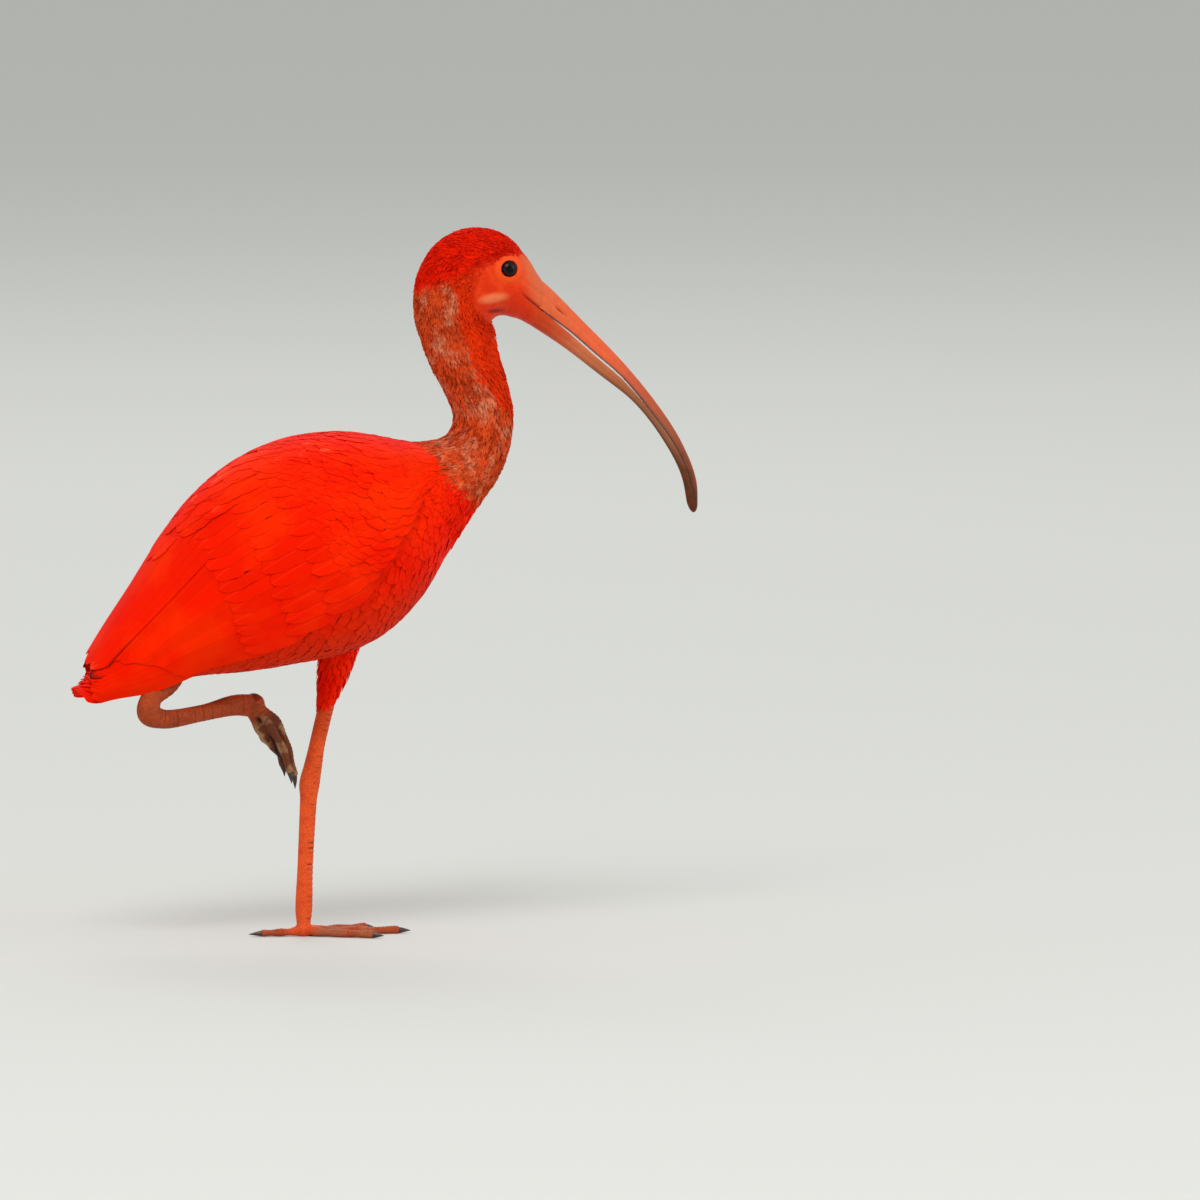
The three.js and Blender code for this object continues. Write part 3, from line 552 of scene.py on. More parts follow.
# %% Markings of the plumage
def markings_group():
    """The plumage colour from the zone values that every skin and feather point carries."""
    net, given, out = new_group("markings", [
        ("Place", PLACE, (0, 0, 0)), *((label.capitalize(), NUMBER, 0.0) for label in ZONES),
    ], [("Color", COLOUR)])

    def ragged(zone, size, strength):
        """A zone's value with its edge broken up by noise."""
        spread = net.math("SUBTRACT", net.noise(given["Place"], size, 4.0, 0.6), 0.5)
        return net.math("ADD", given[zone], net.math("MULTIPLY", spread, strength))

    body_colour = mottled(net, given["Place"], SCARLET, BRIGHT_SCARLET, 22.0, 0.8)
    # Belly: painted shade round the underside of the trunk.
    # Pale: painted highlight along some shafts of the back.
    for zone, tint in (("Belly", BELLY_SHADE_SCARLET), ("Pale", HIGHLIGHT_SCARLET)):
        body_colour = net.blend(net.math("MULTIPLY", given[zone], 0.5), body_colour, tint)
    cheek_colour = mottled(net, given["Place"], CHEEK_RED, CHEEK_BROWN, 70.0, 0.7)
    colour = net.blend(net.reach(ragged("Cheek", 60.0, 0.5), 0.2, 0.8), body_colour, cheek_colour)
    fleck = net.noise(given["Place"], 115.0, 3.0, 0.7)
    fleck = net.math("ADD", fleck, net.math("MULTIPLY", given["Shade"], 0.22))
    brown = net.blend(net.reach(fleck, 0.46, 0.68), NECK_BROWN, NECK_RUST)
    tan = net.reach(net.noise(given["Place"], 74.0, 4.0, 0.75), 0.48, 0.62)
    tan = net.math("MULTIPLY", tan, net.reach(given["Shade"], 0.1, 0.9, 0.4, 1.0))
    neck_colour = net.blend(tan, brown, NECK_TAN)
    colour = net.blend(net.reach(ragged("Neck", 60.0, 1.1), 0.35, 0.65), colour, neck_colour)
    crown_colour = net.blend(net.reach(fleck, 0.45, 0.75), CROWN_SHADE, CROWN_RED)
    colour = net.blend(net.reach(ragged("Crown", 90.0, 0.7), 0.25, 0.75), colour, crown_colour)
    # each feather's own tone, times painted shade towards its root, which lies under the feathers above it
    tone_and_root_shade = net.math(
        "MULTIPLY", net.reach(given["Shade"], 0, 1, 0.93, 1.04), net.reach(given["Reach"], 0, 0.5, 0.82, 1.0),
    )
    tinted = net.node("ShaderNodeHueSaturation", {"Value": tone_and_root_shade, "Color": colour}).outputs[0]
    # Dark: black wing tips, and painted shadow along the lowest tertial's edge.
    net.join(net.blend(given["Dark"], tinted, TIP_BLACK_AND_SHADOW), out["Color"])
    return net.tree


MARKINGS = markings_group()


def markings_in(net, place):
    """The markings group placed in a material and fed with the mesh's own values."""
    feeds = {label.capitalize(): net.value(label) for label in ZONES}
    return net.node("ShaderNodeGroup", {"Place": place, **feeds}, node_tree=MARKINGS).outputs["Color"]


print("nodes in the markings:", len(MARKINGS.nodes))


# %% Plumage finish
def new_material(name):
    """An empty material: gives it, its net and its Principled shader."""
    made = bpy.data.materials.new(name)
    made.use_nodes = True
    shader = next(node for node in made.node_tree.nodes if node.type == "BSDF_PRINCIPLED")
    return made, Net(made.node_tree), shader


def shine(shader, roughness, level, tint):
    """A weak shine in a colour of its own, so that it doesn't grey the red under it."""
    shader.inputs["Roughness"].default_value = roughness
    shader.inputs["Specular IOR Level"].default_value = level
    shader.inputs["Specular Tint"].default_value = (*tint, 1)


def colour_and_bump(net, shader, colour, height, strength, distance):
    """Joins a colour to the shader, and a height as its bump: distance is metres for a height of 1."""
    net.join(colour, shader.inputs["Base Color"])
    bump = net.node("ShaderNodeBump", {"Height": height, "Strength": strength, "Distance": distance})
    net.join(bump.outputs[0], shader.inputs["Normal"])


def plumage_material(name, spacing, lines):
    """Feathers: markings, barbs with painted shade between them and shafts, with a shine that is red itself,
    as on dyed silk.
    """
    made, net, shader = new_material(name)
    place = net.place()
    barbs = net.node("ShaderNodeGroup", {
        "Barb": net.value("barb"), "Across": net.value("across"), "Spacing": spacing, "Place": place,
    }, node_tree=BARBS).outputs
    # painted shade in the grooves between the barbs
    between = net.reach(barbs["Height"], -0.25, 0.25, lines, 0.0)
    lined = net.blend(between, markings_in(net, place), BARB_SHADE)
    colour = net.blend(net.math("MULTIPLY", barbs["Shaft"], 0.05), lined, SHAFT_PINK)
    colour_and_bump(net, shader, colour, barbs["Height"], 0.2, 0.0002)
    shine(shader, 0.7, 0.08, (1, 0.2, 0.08))
    return made


PLUMAGE = plumage_material("plumage", 0.8, 0.1)
NECK_PLUMAGE = plumage_material("neck_plumage", 0.5, 0.14)
print("nodes in a plumage finish:", len(PLUMAGE.node_tree.nodes))


# %% [markdown]
# Which zone a point belongs to follows from its place. The neck's mottling starts in front of the
# wings, the crown lies above a line from the brow to the nape, and bare skin rings the eye and runs
# to the bill. The same function serves the skin and each feather's root.

# %% Zones
EYE = np.array([117.3, 0, 380.1])
CHEEK_EDGE = [  # z, x where the mottled nape gives way to the cheek and throat
    (272, 145), (288, 138), (300, 122), (312, 107), (326, 96), (344, 90), (360, 87), (376, 84), (392, 80),
]
FACE_OVAL, CHIN_OVAL = (121, 367.5, 24, 21.5), (128, 350, 16, 9)  # middle x z, half length, half height
CROWN_LINE = ((66, 371), (116, 387))  # x z of its two ends
NOSTRIL_LINE = ((124, 374.5), (146, 358.5))
MOTTLE_START = 205  # along the trunk
BREAST_RISE, BREAST_SLOPE = 187, 0.45  # below this height the mottling starts further ahead


def inside(x, z, oval):
    """1 in the middle of an oval, 0 on its edge and less outside it."""
    return 1 - np.hypot((x - oval[0]) / oval[2], (z - oval[1]) / oval[3])


def line_height(x, ends):
    """Height of a straight line that goes on level past its two ends."""
    (x0, z0), (x1, z1) = ends
    return mix(z0, z1, np.clip((x - x0) / (x1 - x0), 0, 1))


def degrees_round(points):
    """Degrees round the trunk and wings from the back, and the place along them."""
    along, rise = to_trunk(points)
    low, high, half = (eased(WING_SHELL, along, column) for column in (1, 2, 3))
    up = (rise - (low + high) / 2) / ((high - low) / 2)
    return np.degrees(np.arctan2(np.abs(points[..., 1]) / half, up)), along


def zones_at(points, station):
    """Values from 0 to 1 that say which plumage grows at points of the body, and where shade is painted."""
    x, z, off_middle = points[..., 0], points[..., 2], np.abs(points[..., 1])
    along, rise = to_trunk(points)
    degrees = degrees_round(points)[0]
    on_head = station > HEAD_START
    edge = MOTTLE_START + BREAST_SLOPE * np.maximum(BREAST_RISE - rise, 0)
    front = smooth(-9, 9, along - edge) * (station > NECK_START - 2.5)
    behind_cheek = smooth(7, -7, x - eased(CHEEK_EDGE, z, 1))
    face = np.maximum(inside(x, z, FACE_OVAL), inside(x, z, CHIN_OVAL))
    brow = smooth(9, 5, off_middle) * smooth(372, 378, z) * (x > 112) * smooth(132, 125, x)
    return {
        "neck": front * behind_cheek,
        "crown": np.maximum(smooth(-7, 7, z - line_height(x, CROWN_LINE)), brow) * on_head,
        "cheek": smooth(262, 300, z) * (station > NECK_START),
        # belly: painted shade round the underside of the trunk
        "belly": smooth(116, 155, degrees) * smooth(20, 60, along) * smooth(190, 150, along) * (along < 190),
        "rim": smooth(-0.45, 0.0, face) * on_head,
        "bare": smooth(-0.12, 0.2, face) * (1 - brow) * on_head,
    }


print("degrees round at the belly:", degrees_round(from_trunk(100, 130)[None])[0])


# %% Relief of the bare face
def fold(away, width):
    """1 in the middle of a fold and next to nothing two widths away."""
    return np.exp(-((away / width) ** 2))


def crease_heights(x):
    """Heights of two creases: the gape, which runs on from the bill, and the jaw's lower edge."""
    return 363.2 - 0.74 * (x - 128.2), 355.2 - 0.12 * (x - 110) + 1.2 * np.sin((x - 106) / 5)


def face_relief(points):
    """Folds of the bare face in millimetres: a soft socket, a groove to the nostril, the gape."""
    x, z = points[..., 0], points[..., 2]
    gape_line, jaw_line = crease_heights(x)
    away = np.hypot((x - EYE[0]) / 1.06, z - EYE[2])
    socket = -0.7 * fold(away - 9.5, 2.4) - 4.0 * smooth(5.7, 4.4, away)
    groove = -0.7 * fold(z - line_height(x, NOSTRIL_LINE), 1.5) * smooth(122, 128, x)
    gape = -0.9 * fold(z - gape_line, 0.9) * smooth(122.5, 128, x)
    jaw = -0.8 * fold(z - jaw_line, 1.1) * smooth(101, 106, x) * smooth(121, 114, x)
    cheek = 0.7 * fold(z - 363.4, 3) * smooth(96, 101, x) * smooth(119, 113, x)
    return socket + groove + gape + jaw + cheek


def skin_marks(points):
    """Masks of the bare face: lid ring, pale streak, painted shade in the creases and the roots of the bill.
    """
    x, z = points[..., 0], points[..., 2]
    gape_line, jaw_line = crease_heights(x)
    streak = np.hypot((x - 107.6) / 9.5, (z - 363.6 - 0.12 * (x - 107.6)) / 3.1)
    gape = fold(z - gape_line, 0.8) * smooth(124, 130, x)
    jaw = fold(z - jaw_line, 1.2) * smooth(104, 108, x) * smooth(118, 112, x)
    root = smooth(124, 137, x + 0.3 * (z - 366))
    above = smooth(-1.5, 1.5, z - gape_line)
    return {
        "lid": smooth(10.5, 6.6, np.hypot(x - EYE[0], z - EYE[2])), "streak": smooth(1.3, 0.4, streak),
        "crease": np.maximum(gape, jaw), "upper_root": root * above, "lower_root": root * (1 - above),
    }


print("gape and jaw under the eye:", [round(float(height), 1) for height in crease_heights(EYE[0])])

# %% [markdown]
# Bare skin, wrinkled and orange red, shows on the face, with fine creases, painted shade in the gape
# and along the jaw, and a pale streak along the fold behind the eye. The finish mixes it with the
# plumage colour by the same mask that keeps feathers off the face.

# %% Skin finish
UPPER_ROOT, LOWER_ROOT = (0.66, 0.115, 0.035, 1), (0.58, 0.05, 0.009, 1)  # where the bill's halves start
BARE_RED, BARE_ORANGE = (0.68, 0.025, 0.001, 1), (0.77, 0.05, 0.005, 1)
LID_ORANGE, STREAK_PINK, CREASE_SHADOW = (0.82, 0.07, 0.008, 1), (0.8, 0.17, 0.06, 1), (0.2, 0.012, 0.003, 1)


def skin_material():
    """Bare skin on the face and the plumage's colours under the feathers."""
    made, net, shader = new_material("skin")
    place = net.place()
    bare = mottled(net, place, BARE_RED, BARE_ORANGE, 130.0, 0.7)
    # crease: painted shade in the gape and along the jaw's lower edge
    for mark, colour in (
        ("upper_root", UPPER_ROOT), ("lower_root", LOWER_ROOT), ("lid", LID_ORANGE), ("streak", STREAK_PINK),
        ("crease", CREASE_SHADOW),
    ):
        bare = net.blend(net.value(mark), bare, colour)
    rim = net.math("MULTIPLY", net.math("SUBTRACT", net.noise(place, 260.0), 0.5), 1.6)
    rim = net.reach(net.math("ADD", net.value("bare"), rim), 0.2, 0.8)
    pebbles = net.node("ShaderNodeTexVoronoi", {"Vector": place, "Scale": 900.0}).outputs[0]
    wrinkles = net.math("SUBTRACT", net.noise(place, 380.0, 5.0, 0.65), net.math("MULTIPLY", pebbles, 0.5))
    colour_and_bump(net, shader, net.blend(rim, markings_in(net, place), bare), wrinkles, 0.6, 0.0007)
    shine(shader, 0.5, 0.3, (1, 0.45, 0.3))
    return made


SKIN = skin_material()
print("nodes in the skin's finish:", len(SKIN.node_tree.nodes))

# %% Skin of body and head
SKIN_SIDES = 168
COAT_DEPTH = [  # station, how deep under the feathers' surface the skin lies
    (0, 1.5), (8, 1.5), (12, 1.5), (15, 1.4), (18, 1.3), (21, 0.9), (23, 0.4), (25, 0.0),
]
BILL_DIP = 1.3  # millimetres by which the skin's end dips under the bill's surface
skin_stations = np.concatenate([
    np.linspace(0, NECK_START, 150, endpoint=False), np.linspace(NECK_START, HEAD_START, 110, endpoint=False),
    np.linspace(HEAD_START, LAST_STATION, 230),
])


def skin_depth(station, bare):
    """How far the skin lies under the feathers' surface; nothing where the skin is bare."""
    return -eased(COAT_DEPTH, station, 1) * (1 - bare)


def make_skin():
    """The skin as one closed tube from the rump to the root of the bill."""
    station, turn = ring_grid(skin_stations, SKIN_SIDES)
    surface = body.point(station, turn)
    zones = zones_at(surface, station)
    relief = face_relief(surface) * smooth(0.35, 0.75, np.abs(np.sin(turn))) * (station > HEAD_START)
    end = -BILL_DIP * smooth(LAST_STATION - 0.9, LAST_STATION, station)
    rows = body.point(station, turn, skin_depth(station, zones["bare"]) + relief + end)
    flat = {"shade": np.full(station.shape, 0.5), "reach": np.full(station.shape, 0.4)}
    marks = {**zones, **skin_marks(rows), **flat}
    return tube_piece("skin", rows, SKIN, "plumage", marks, body.patch_place(station, turn))


skin_piece = make_skin()
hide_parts("head", "neck_upper", "neck_lower", "torso")

# %% [markdown]
# A feather here is a thin closed vane: rows of points along it and columns across it, bent over the
# tube it grows from by walking over the surface step by step. One function lays thousands of them at
# once, from the smallest neck tuft to a tail feather, and only a few numbers tell them apart.


# %% Walking over a surface
def walk(tube, station, turn, heading, length, shares):
    """Follows the surface from each root; gives stations and turns at the shares of the length."""
    stations, turns = [station], [turn]
    for before, after in zip(shares[:-1], shares[1:]):
        along, round_it = tube.scale(stations[-1], turns[-1])
        step = length * (after - before)
        stations.append(stations[-1] - step * np.cos(heading) / along)
        turns.append(turns[-1] + step * np.sin(heading) / round_it)
    return np.stack(stations, axis=-1), np.stack(turns, axis=-1)


print("millimetres to a station on the back:", body.scale(8.0, 0.0)[0].round(1))


# %% A vane
def vane_faces(rows, columns):
    """Faces of one closed vane and how many points it has; both faces share the rim."""
    top = np.arange((rows + 1) * (columns + 1)).reshape(rows + 1, columns + 1)
    under = top.copy()
    inner = (rows - 1) * (columns - 1)
    under[1:-1, 1:-1] = top.size + np.arange(inner).reshape(rows - 1, columns - 1)
    quads = []
    for grid, order in ((top, (0, 1, 2, 3)), (under, (3, 2, 1, 0))):
        corners = (grid[:-1, :-1], grid[1:, :-1], grid[1:, 1:], grid[:-1, 1:])
        quads.append(np.stack([corners[i] for i in order], axis=-1).reshape(-1, 4))
    return np.vstack(quads), top.size + inner


def vane_rows(top, under=None):
    """Values of each vane's upper face, then of the points that its underside has to itself."""
    under = top if under is None else under
    faces = (top, under[:, 1:-1, 1:-1])
    return np.concatenate([face.reshape(len(top), -1, *top.shape[3:]) for face in faces], axis=1)


print("points in a vane of 4 rows and 4 columns:", vane_faces(4, 4)[1])


# %% Laying feathers
# The numbers of a feather's shape: rows and columns of points; root_width and tip_width, shares of its
# width, and widest, where along it it is widest; round, how much its end is rounded; sink and stand,
# the heights of root and tip over the tube, and out, where along it the tip's height is reached; crown,
# how much its middle is domed; tile, how much one edge lies higher than the other; thick; ragged, notch
# and unrest, how much its end, its sides and its height vary.
ROOT_PATCH = 0.003  # side of each feather's own patch on the OFBake map


def lay_feathers(tube, roots, shape, rng, zones=None):
    """Vanes on a tube. roots: station, turn, heading, length, width; shape: the numbers they share.

    Every point carries the values of zones at its root, and is plain scarlet where there are none.
    """
    station, turn, heading, length, width = (np.asarray(column, float) for column in roots)
    count, rows, columns = len(station), shape["rows"], shape["columns"]
    shares = np.linspace(0, 1, rows + 1) ** 0.9
    path_station, path_turn = walk(tube, station, turn, heading, length, shares)
    size = (count, rows + 1, columns + 1)
    t = np.broadcast_to(shares[:, None], size)
    w = np.broadcast_to(np.linspace(-1, 1, columns + 1), size)
    ragged = 1 + shape["ragged"] * rng.normal(size=(count, 1, columns + 1))
    rounding = 1 - shape["round"] * np.abs(w) ** 2.2
    pull = 1 - (1 - rounding * ragged) * t**2
    spread = mix(shape["root_width"], 1, smooth(0, shape["widest"], t))
    spread = spread * mix(1, shape["tip_width"], smooth(shape["widest"], 1, t))
    spread = spread * (1 + shape.get("notch", 0.0) * rng.normal(size=size) * (t > 0.3))
    length, width, cos, sin = (
        column[:, None, None] for column in (length, width, np.cos(heading), np.sin(heading))
    )
    offset, back = w * spread * width / 2, (pull - 1) * length * t
    along, round_it = (scale[..., None] for scale in tube.scale(path_station, path_turn))
    stations = path_station[..., None] + (offset * sin - back * cos) / along
    turns = path_turn[..., None] + (offset * cos + back * sin) / round_it
    sink, stand = (np.reshape(shape[label], (-1, 1, 1)) for label in ("sink", "stand"))
    bend = sink + (stand - sink) * smooth(0, shape["out"], t)
    lift = bend + shape["crown"] * (1 - w**2) * smooth(0, 0.3, t) + shape.get("tile", 0.0) * w
    lift = lift + rng.normal(size=(count, 1, 1)) * shape["unrest"] * t
    points = vane_rows(tube.point(stations, turns, lift), tube.point(stations, turns, lift - shape["thick"]))
    values = {
        "reach": t, "across": w, "shade": rng.uniform(size=(count, 1, 1)),
        "barb": t * length + np.abs(w) * width * 0.4,
        **{label: np.reshape((zones or {}).get(label, 0.0), (-1, 1, 1)) for label in ROOT_ZONES},
    }
    values = {label: vane_rows(np.broadcast_to(grid, size)) for label, grid in values.items()}
    in_patch = np.stack([values["across"] / 2, values["reach"] - 0.5], axis=-1) * ROOT_PATCH
    faces, points_each = vane_faces(rows, columns)
    faces = (faces[None] + points_each * np.arange(count)[:, None, None]).reshape(-1, 4)
    places = tube.patch_place(station, turn)[:, None, :] + in_patch
    return {"points": points, "faces": faces, "values": values, "places": places}


def coat_piece(name, batches, finish, slot):
    """Joins laid feathers into one piece."""
    points, faces, places, values, start = [], [], [], {}, 0
    for batch in batches:
        points.append(batch["points"].reshape(-1, 3))
        faces.append(batch["faces"] + start)
        places.append(batch["places"].reshape(-1, 2))
        for label, rows in batch["values"].items():
            values.setdefault(label, []).append(rows.ravel())
        start += len(points[-1])
    values = {label: np.concatenate(rows) for label, rows in values.items()}
    points, faces, places = (np.vstack(rows) for rows in (points, faces, places))
    return make_piece(name, points, [faces], finish, slot, values, places, corner_angle=70)


print("a feather's patch takes this share of the map:", round(ROOT_PATCH**2, 7))


# %% Scattering roots
def scatter(tube, spacing, stations, turns, rng):
    """Roots in staggered rows about `spacing` millimetres apart, thinned where the tube narrows."""
    grid = np.linspace(*stations, 300)
    around = np.linspace(*turns, 9)
    along = np.stack([tube.scale(grid, np.full_like(grid, turn))[0] for turn in around])
    longest = along.max(axis=0)
    travelled = np.concatenate([[0], np.cumsum(longest[:-1] * np.abs(np.diff(grid)))])
    rows = max(2, int(travelled[-1] / (spacing * 0.8)))
    found = []
    for number, row in enumerate(np.interp((np.arange(rows) + 0.5) / rows * travelled[-1], travelled, grid)):
        girth = np.mean(tube.scale(np.full(9, row), around)[1]) * abs(turns[1] - turns[0])
        count = max(2, round(girth / spacing))
        turn = turns[0] + (np.arange(count) + 0.25 + 0.5 * (number % 2)) / count * (turns[1] - turns[0])
        found.append(np.stack([np.full(count, row), turn], axis=-1))
    found = np.vstack(found)
    along, round_it = tube.scale(found[:, 0], found[:, 1])
    order = np.argsort(grid)
    kept = rng.uniform(size=len(found)) < along / np.interp(found[:, 0], grid[order], longest[order]) + 0.1
    jitter = rng.uniform(-0.3, 0.3, size=found.shape) * spacing / np.stack([along, round_it], axis=-1)
    return (found + jitter)[kept]


trial = scatter(wing_tube, 30, (0, 150), (0, 1), np.random.default_rng(0))
print("roots 30 mm apart on a stretch of the wing:", len(trial))

# %% [markdown]
# Small contour feathers cover breast, belly and rump. They are short, broad and rounded, and lie
# back along the body. Roots under the folded wings are left out, since no one sees them.

# %% Body feathers
CONTOUR = {
    "rows": 4, "columns": 4, "root_width": 0.5, "widest": 0.55, "tip_width": 0.66, "round": 0.26,
    "sink": -1.7, "stand": -0.2, "crown": 0.15, "thick": 0.16, "ragged": 0.04, "out": 0.95, "unrest": 0.07,
}
BODY_SPACING, BODY_LENGTHS = 5.2, (13, 17)
UNDER_WING = 16  # degrees above the wing's lower edge from which the roots are left out


def under_wing(points):
    """True where a point of the trunk lies well under a folded wing."""
    degrees, along = degrees_round(points)
    return (degrees < eased(LOW_EDGE, along, 1) - UNDER_WING) & (along < 182) & (along > -30)


def body_feathers():
    rng = np.random.default_rng(11)
    spots = scatter(body, BODY_SPACING, (0.6, NECK_START + 2.2), (0, 2 * math.pi), rng)
    spots = spots[~under_wing(body.point(*spots.T))]
    station, turn = spots.T
    count = len(station)
    length = mix(*BODY_LENGTHS, rng.uniform(size=count)) * mix(1, 0.72, smooth(8, 12, station))
    heading = rng.normal(0, 0.12, size=count)
    width = length * rng.uniform(0.8, 0.95, size=count)
    zones = zones_at(body.point(station, turn), station)
    return lay_feathers(body, (station, turn, heading, length, width), CONTOUR, rng, zones)


coat_piece("body_feathers", [body_feathers()], PLUMAGE, "plumage")

# %% [markdown]
# Neck and head carry hair-like feathers, a few millimetres long, with a loose tip. They are vanes of
# only two columns, laid close, and shorter and finer towards the face, where they stop.

# %% Neck and head feathers
TUFT = {
    "rows": 3, "columns": 2, "root_width": 0.7, "widest": 0.45, "tip_width": 0.16, "round": 0.1,
    "sink": -1.8, "stand": 0.0, "crown": 0.35, "thick": 0.25, "ragged": 0.1, "out": 0.95, "unrest": 0.22,
}
HEAD_TUFT = {**TUFT, "sink": -1.3, "stand": -0.05, "crown": 0.25, "thick": 0.2, "unrest": 0.12}


def tufts(spacing, stations, length, width, seed, shape):
    """Tufts of about one length and width, fewer and smaller where the face turns bare."""
    rng = np.random.default_rng(seed)
    station, turn = scatter(body, spacing, stations, (0, 2 * math.pi), rng).T
    zones = zones_at(body.point(station, turn), station)
    kept = zones["bare"] < rng.uniform(0.05, 0.95, size=len(station))
    station, turn, zones = station[kept], turn[kept], {label: rows[kept] for label, rows in zones.items()}
    count = len(station)
    lengths = length * rng.uniform(0.8, 1.25, size=count) * mix(1, 0.45, zones["rim"])
    widths = width * rng.uniform(0.8, 1.2, size=count) * mix(1, 0.7, zones["rim"])
    roots = (station, turn, rng.normal(0, 0.2, size=count), lengths, widths)
    return lay_feathers(body, roots, shape, rng, zones)


for part, slot, *settings in (
    ("neck", "neck_plumage", 1.75, (NECK_START - 0.6, HEAD_START + 0.4), 8.5, 2.2, 23, TUFT),
    ("head", "crown", 1.35, (HEAD_START, LAST_STATION - 2.2), 5.2, 1.5, 37, HEAD_TUFT),
):
    coat_piece(f"{part}_feathers", [tufts(*settings)], NECK_PLUMAGE, slot)

# %% [markdown]
# A folded wing is a stack of tiers, like tiles on a roof: small coverts over the shoulder, then
# median and greater coverts, then the long flight feathers, with scapulars and tertials laid over
# the top. Rows start at the rear, so that each one covers the roots of the one behind it.

# %% Wings
COVERT = {
    "rows": 6, "columns": 6, "root_width": 0.6, "widest": 0.5, "tip_width": 0.8, "round": 0.2,
    "sink": -4.0, "stand": 0.0, "crown": 0.12, "thick": 0.18, "ragged": 0.008, "out": 0.5, "unrest": 0.04,
    "tile": 0.28,
}
FLIGHT = {
    "rows": 16, "columns": 8, "root_width": 0.7, "widest": 0.4, "tip_width": 0.62, "round": 0.06,
    "sink": -5.0, "stand": -1.2, "crown": 0.12, "thick": 0.2, "ragged": 0.001, "out": 0.35,
    "tile": 0.3, "unrest": 0.03,
}
# tier: how many, first and last root and tip as (along, degrees), first and last width, height, shape
TIERS = {
    "primaries": (8, ((60, 90), (40, 122)), ((-34, 44), (-40, 92)), (17, 14), -1.9, FLIGHT),
    "secondaries": (13, ((100, 48), (84, 121)), ((-22, 46), (8, 111)), (20, 16), -1.3, FLIGHT),
    "tertials": (6, ((104, 6), (92, 44)), ((-28, 10), (-27, 42)), (21, 19), -0.6, FLIGHT),
    "greater": (12, ((112, 34), (96, 119)), ((54, 35), (46, 118)), (22, 15), -0.8, COVERT),
    "second median": (12, ((136, 31), (116, 117)), ((80, 33), (72, 117)), (20, 14), -0.5, COVERT),
    "median": (12, ((152, 28), (136, 114)), ((104, 31), (96, 116)), (18, 13), -0.25, COVERT),
}
print("feathers in the tiers of a wing:", sum(tier[0] for tier in TIERS.values()))


# %% Roots of a tier
LEFT_AHEAD = 5.5  # millimetres by which the left wing is folded further forward


def tier_roots(layout, side, rng):
    """Roots of one tier as station, turn, heading, length and width."""
    count, roots, tips, widths = layout
    place = np.linspace(0, 1, count)
    root, tip = (mix(*np.array(ends, float)[:, None], place[:, None]) for ends in (roots, tips))
    root += rng.normal(size=root.shape) * [1.5, 0.4]
    tip += rng.normal(size=tip.shape) * [0.9, 0.5]
    tip[:, 0] += LEFT_AHEAD * (side == LEFT)
    station, turn = root[:, 0], side * np.radians(root[:, 1])
    middle = (root[:, 0] + tip[:, 0]) / 2
    along, round_it = wing_tube.scale(middle, side * np.radians((root[:, 1] + tip[:, 1]) / 2))
    ahead = (root[:, 0] - tip[:, 0]) * along
    sideways = side * np.radians(tip[:, 1] - root[:, 1]) * round_it
    return station, turn, np.arctan2(sideways, ahead), np.hypot(ahead, sideways), mix(*widths, place)


for name, tier in TIERS.items():
    print(name, "up to", tier_roots(tier[:4], RIGHT, np.random.default_rng(0))[3].max().round(), "mm long")


# %% Small coverts and scapulars
def settle(station, turn):
    """How far the small coverts sink towards the wing's front and its lower edge."""
    below = np.abs(np.degrees(turn)) - eased(LOW_EDGE, station, 1)
    return 3.6 * smooth(174, 203, station) + 1.2 * smooth(-18, -3, below)


def wing_spots(spacing, stations, degrees, lowest, side, rng):
    """Roots scattered over a stretch of the wing, down to the lowest degrees that lowest allows."""
    spots = scatter(wing_tube, spacing, stations, [side * math.radians(value) for value in degrees], rng)
    return spots[np.abs(np.degrees(spots[:, 1])) < lowest(spots[:, 0])].T


def lesser_coverts(side, rng):
    """Small scale-like coverts in staggered rows over the front of the wing."""
    station, turn = wing_spots(
        5.6, (203, 126), (-3, 117), lambda along: eased(LOW_EDGE, along, 1) - 3, side, rng,
    )
    length = rng.uniform(13, 16, size=len(station))
    roots = (station, turn, rng.normal(0, 0.06, size=len(station)), length, length * 0.78)
    stand = -settle(station, turn)
    shape = {
        **COVERT, "rows": 4, "columns": 4, "sink": stand - 1.3, "stand": stand, "out": 0.95, "ragged": 0.03,
        "tile": side * 0.15, "thick": 0.14,
    }
    return lay_feathers(wing_tube, roots, shape, rng)


def highlight_streak(values):
    """A painted highlight: a paler shaft near the tip of some feathers of the back."""
    along_shaft = smooth(0.5, 0.0, np.abs(values["across"])) * smooth(0.35, 0.8, values["reach"])
    return smooth(0.7, 0.9, values["shade"]) * along_shaft


def scapulars(side, rng):
    """Long soft feathers from the shoulder over the roots of the tertials."""
    station, turn = wing_spots(
        8.0, (182, 66), (1, 31), lambda along: mix(9, 31, smooth(62, 104, along)), side, rng,
    )
    count = len(station)
    length = mix(36, 24, smooth(120, 190, station)) * rng.uniform(0.82, 1.15, size=count)
    heading = side * rng.normal(0.03, 0.04, size=count)
    roots = (station, turn, heading, length, length * rng.uniform(0.42, 0.5, size=count))
    shape = {**COVERT, "rows": 7, "sink": -1.6, "stand": 0.0, "out": 0.95, "thick": 0.15, "tile": side * 0.2}
    batch = lay_feathers(wing_tube, roots, shape, rng)
    # painted highlight along the shafts of some scapulars
    batch["values"]["pale"] = highlight_streak(batch["values"])
    return batch


print("small coverts sink at the wing's front by", settle(203, 0.0).round(1), "mm")


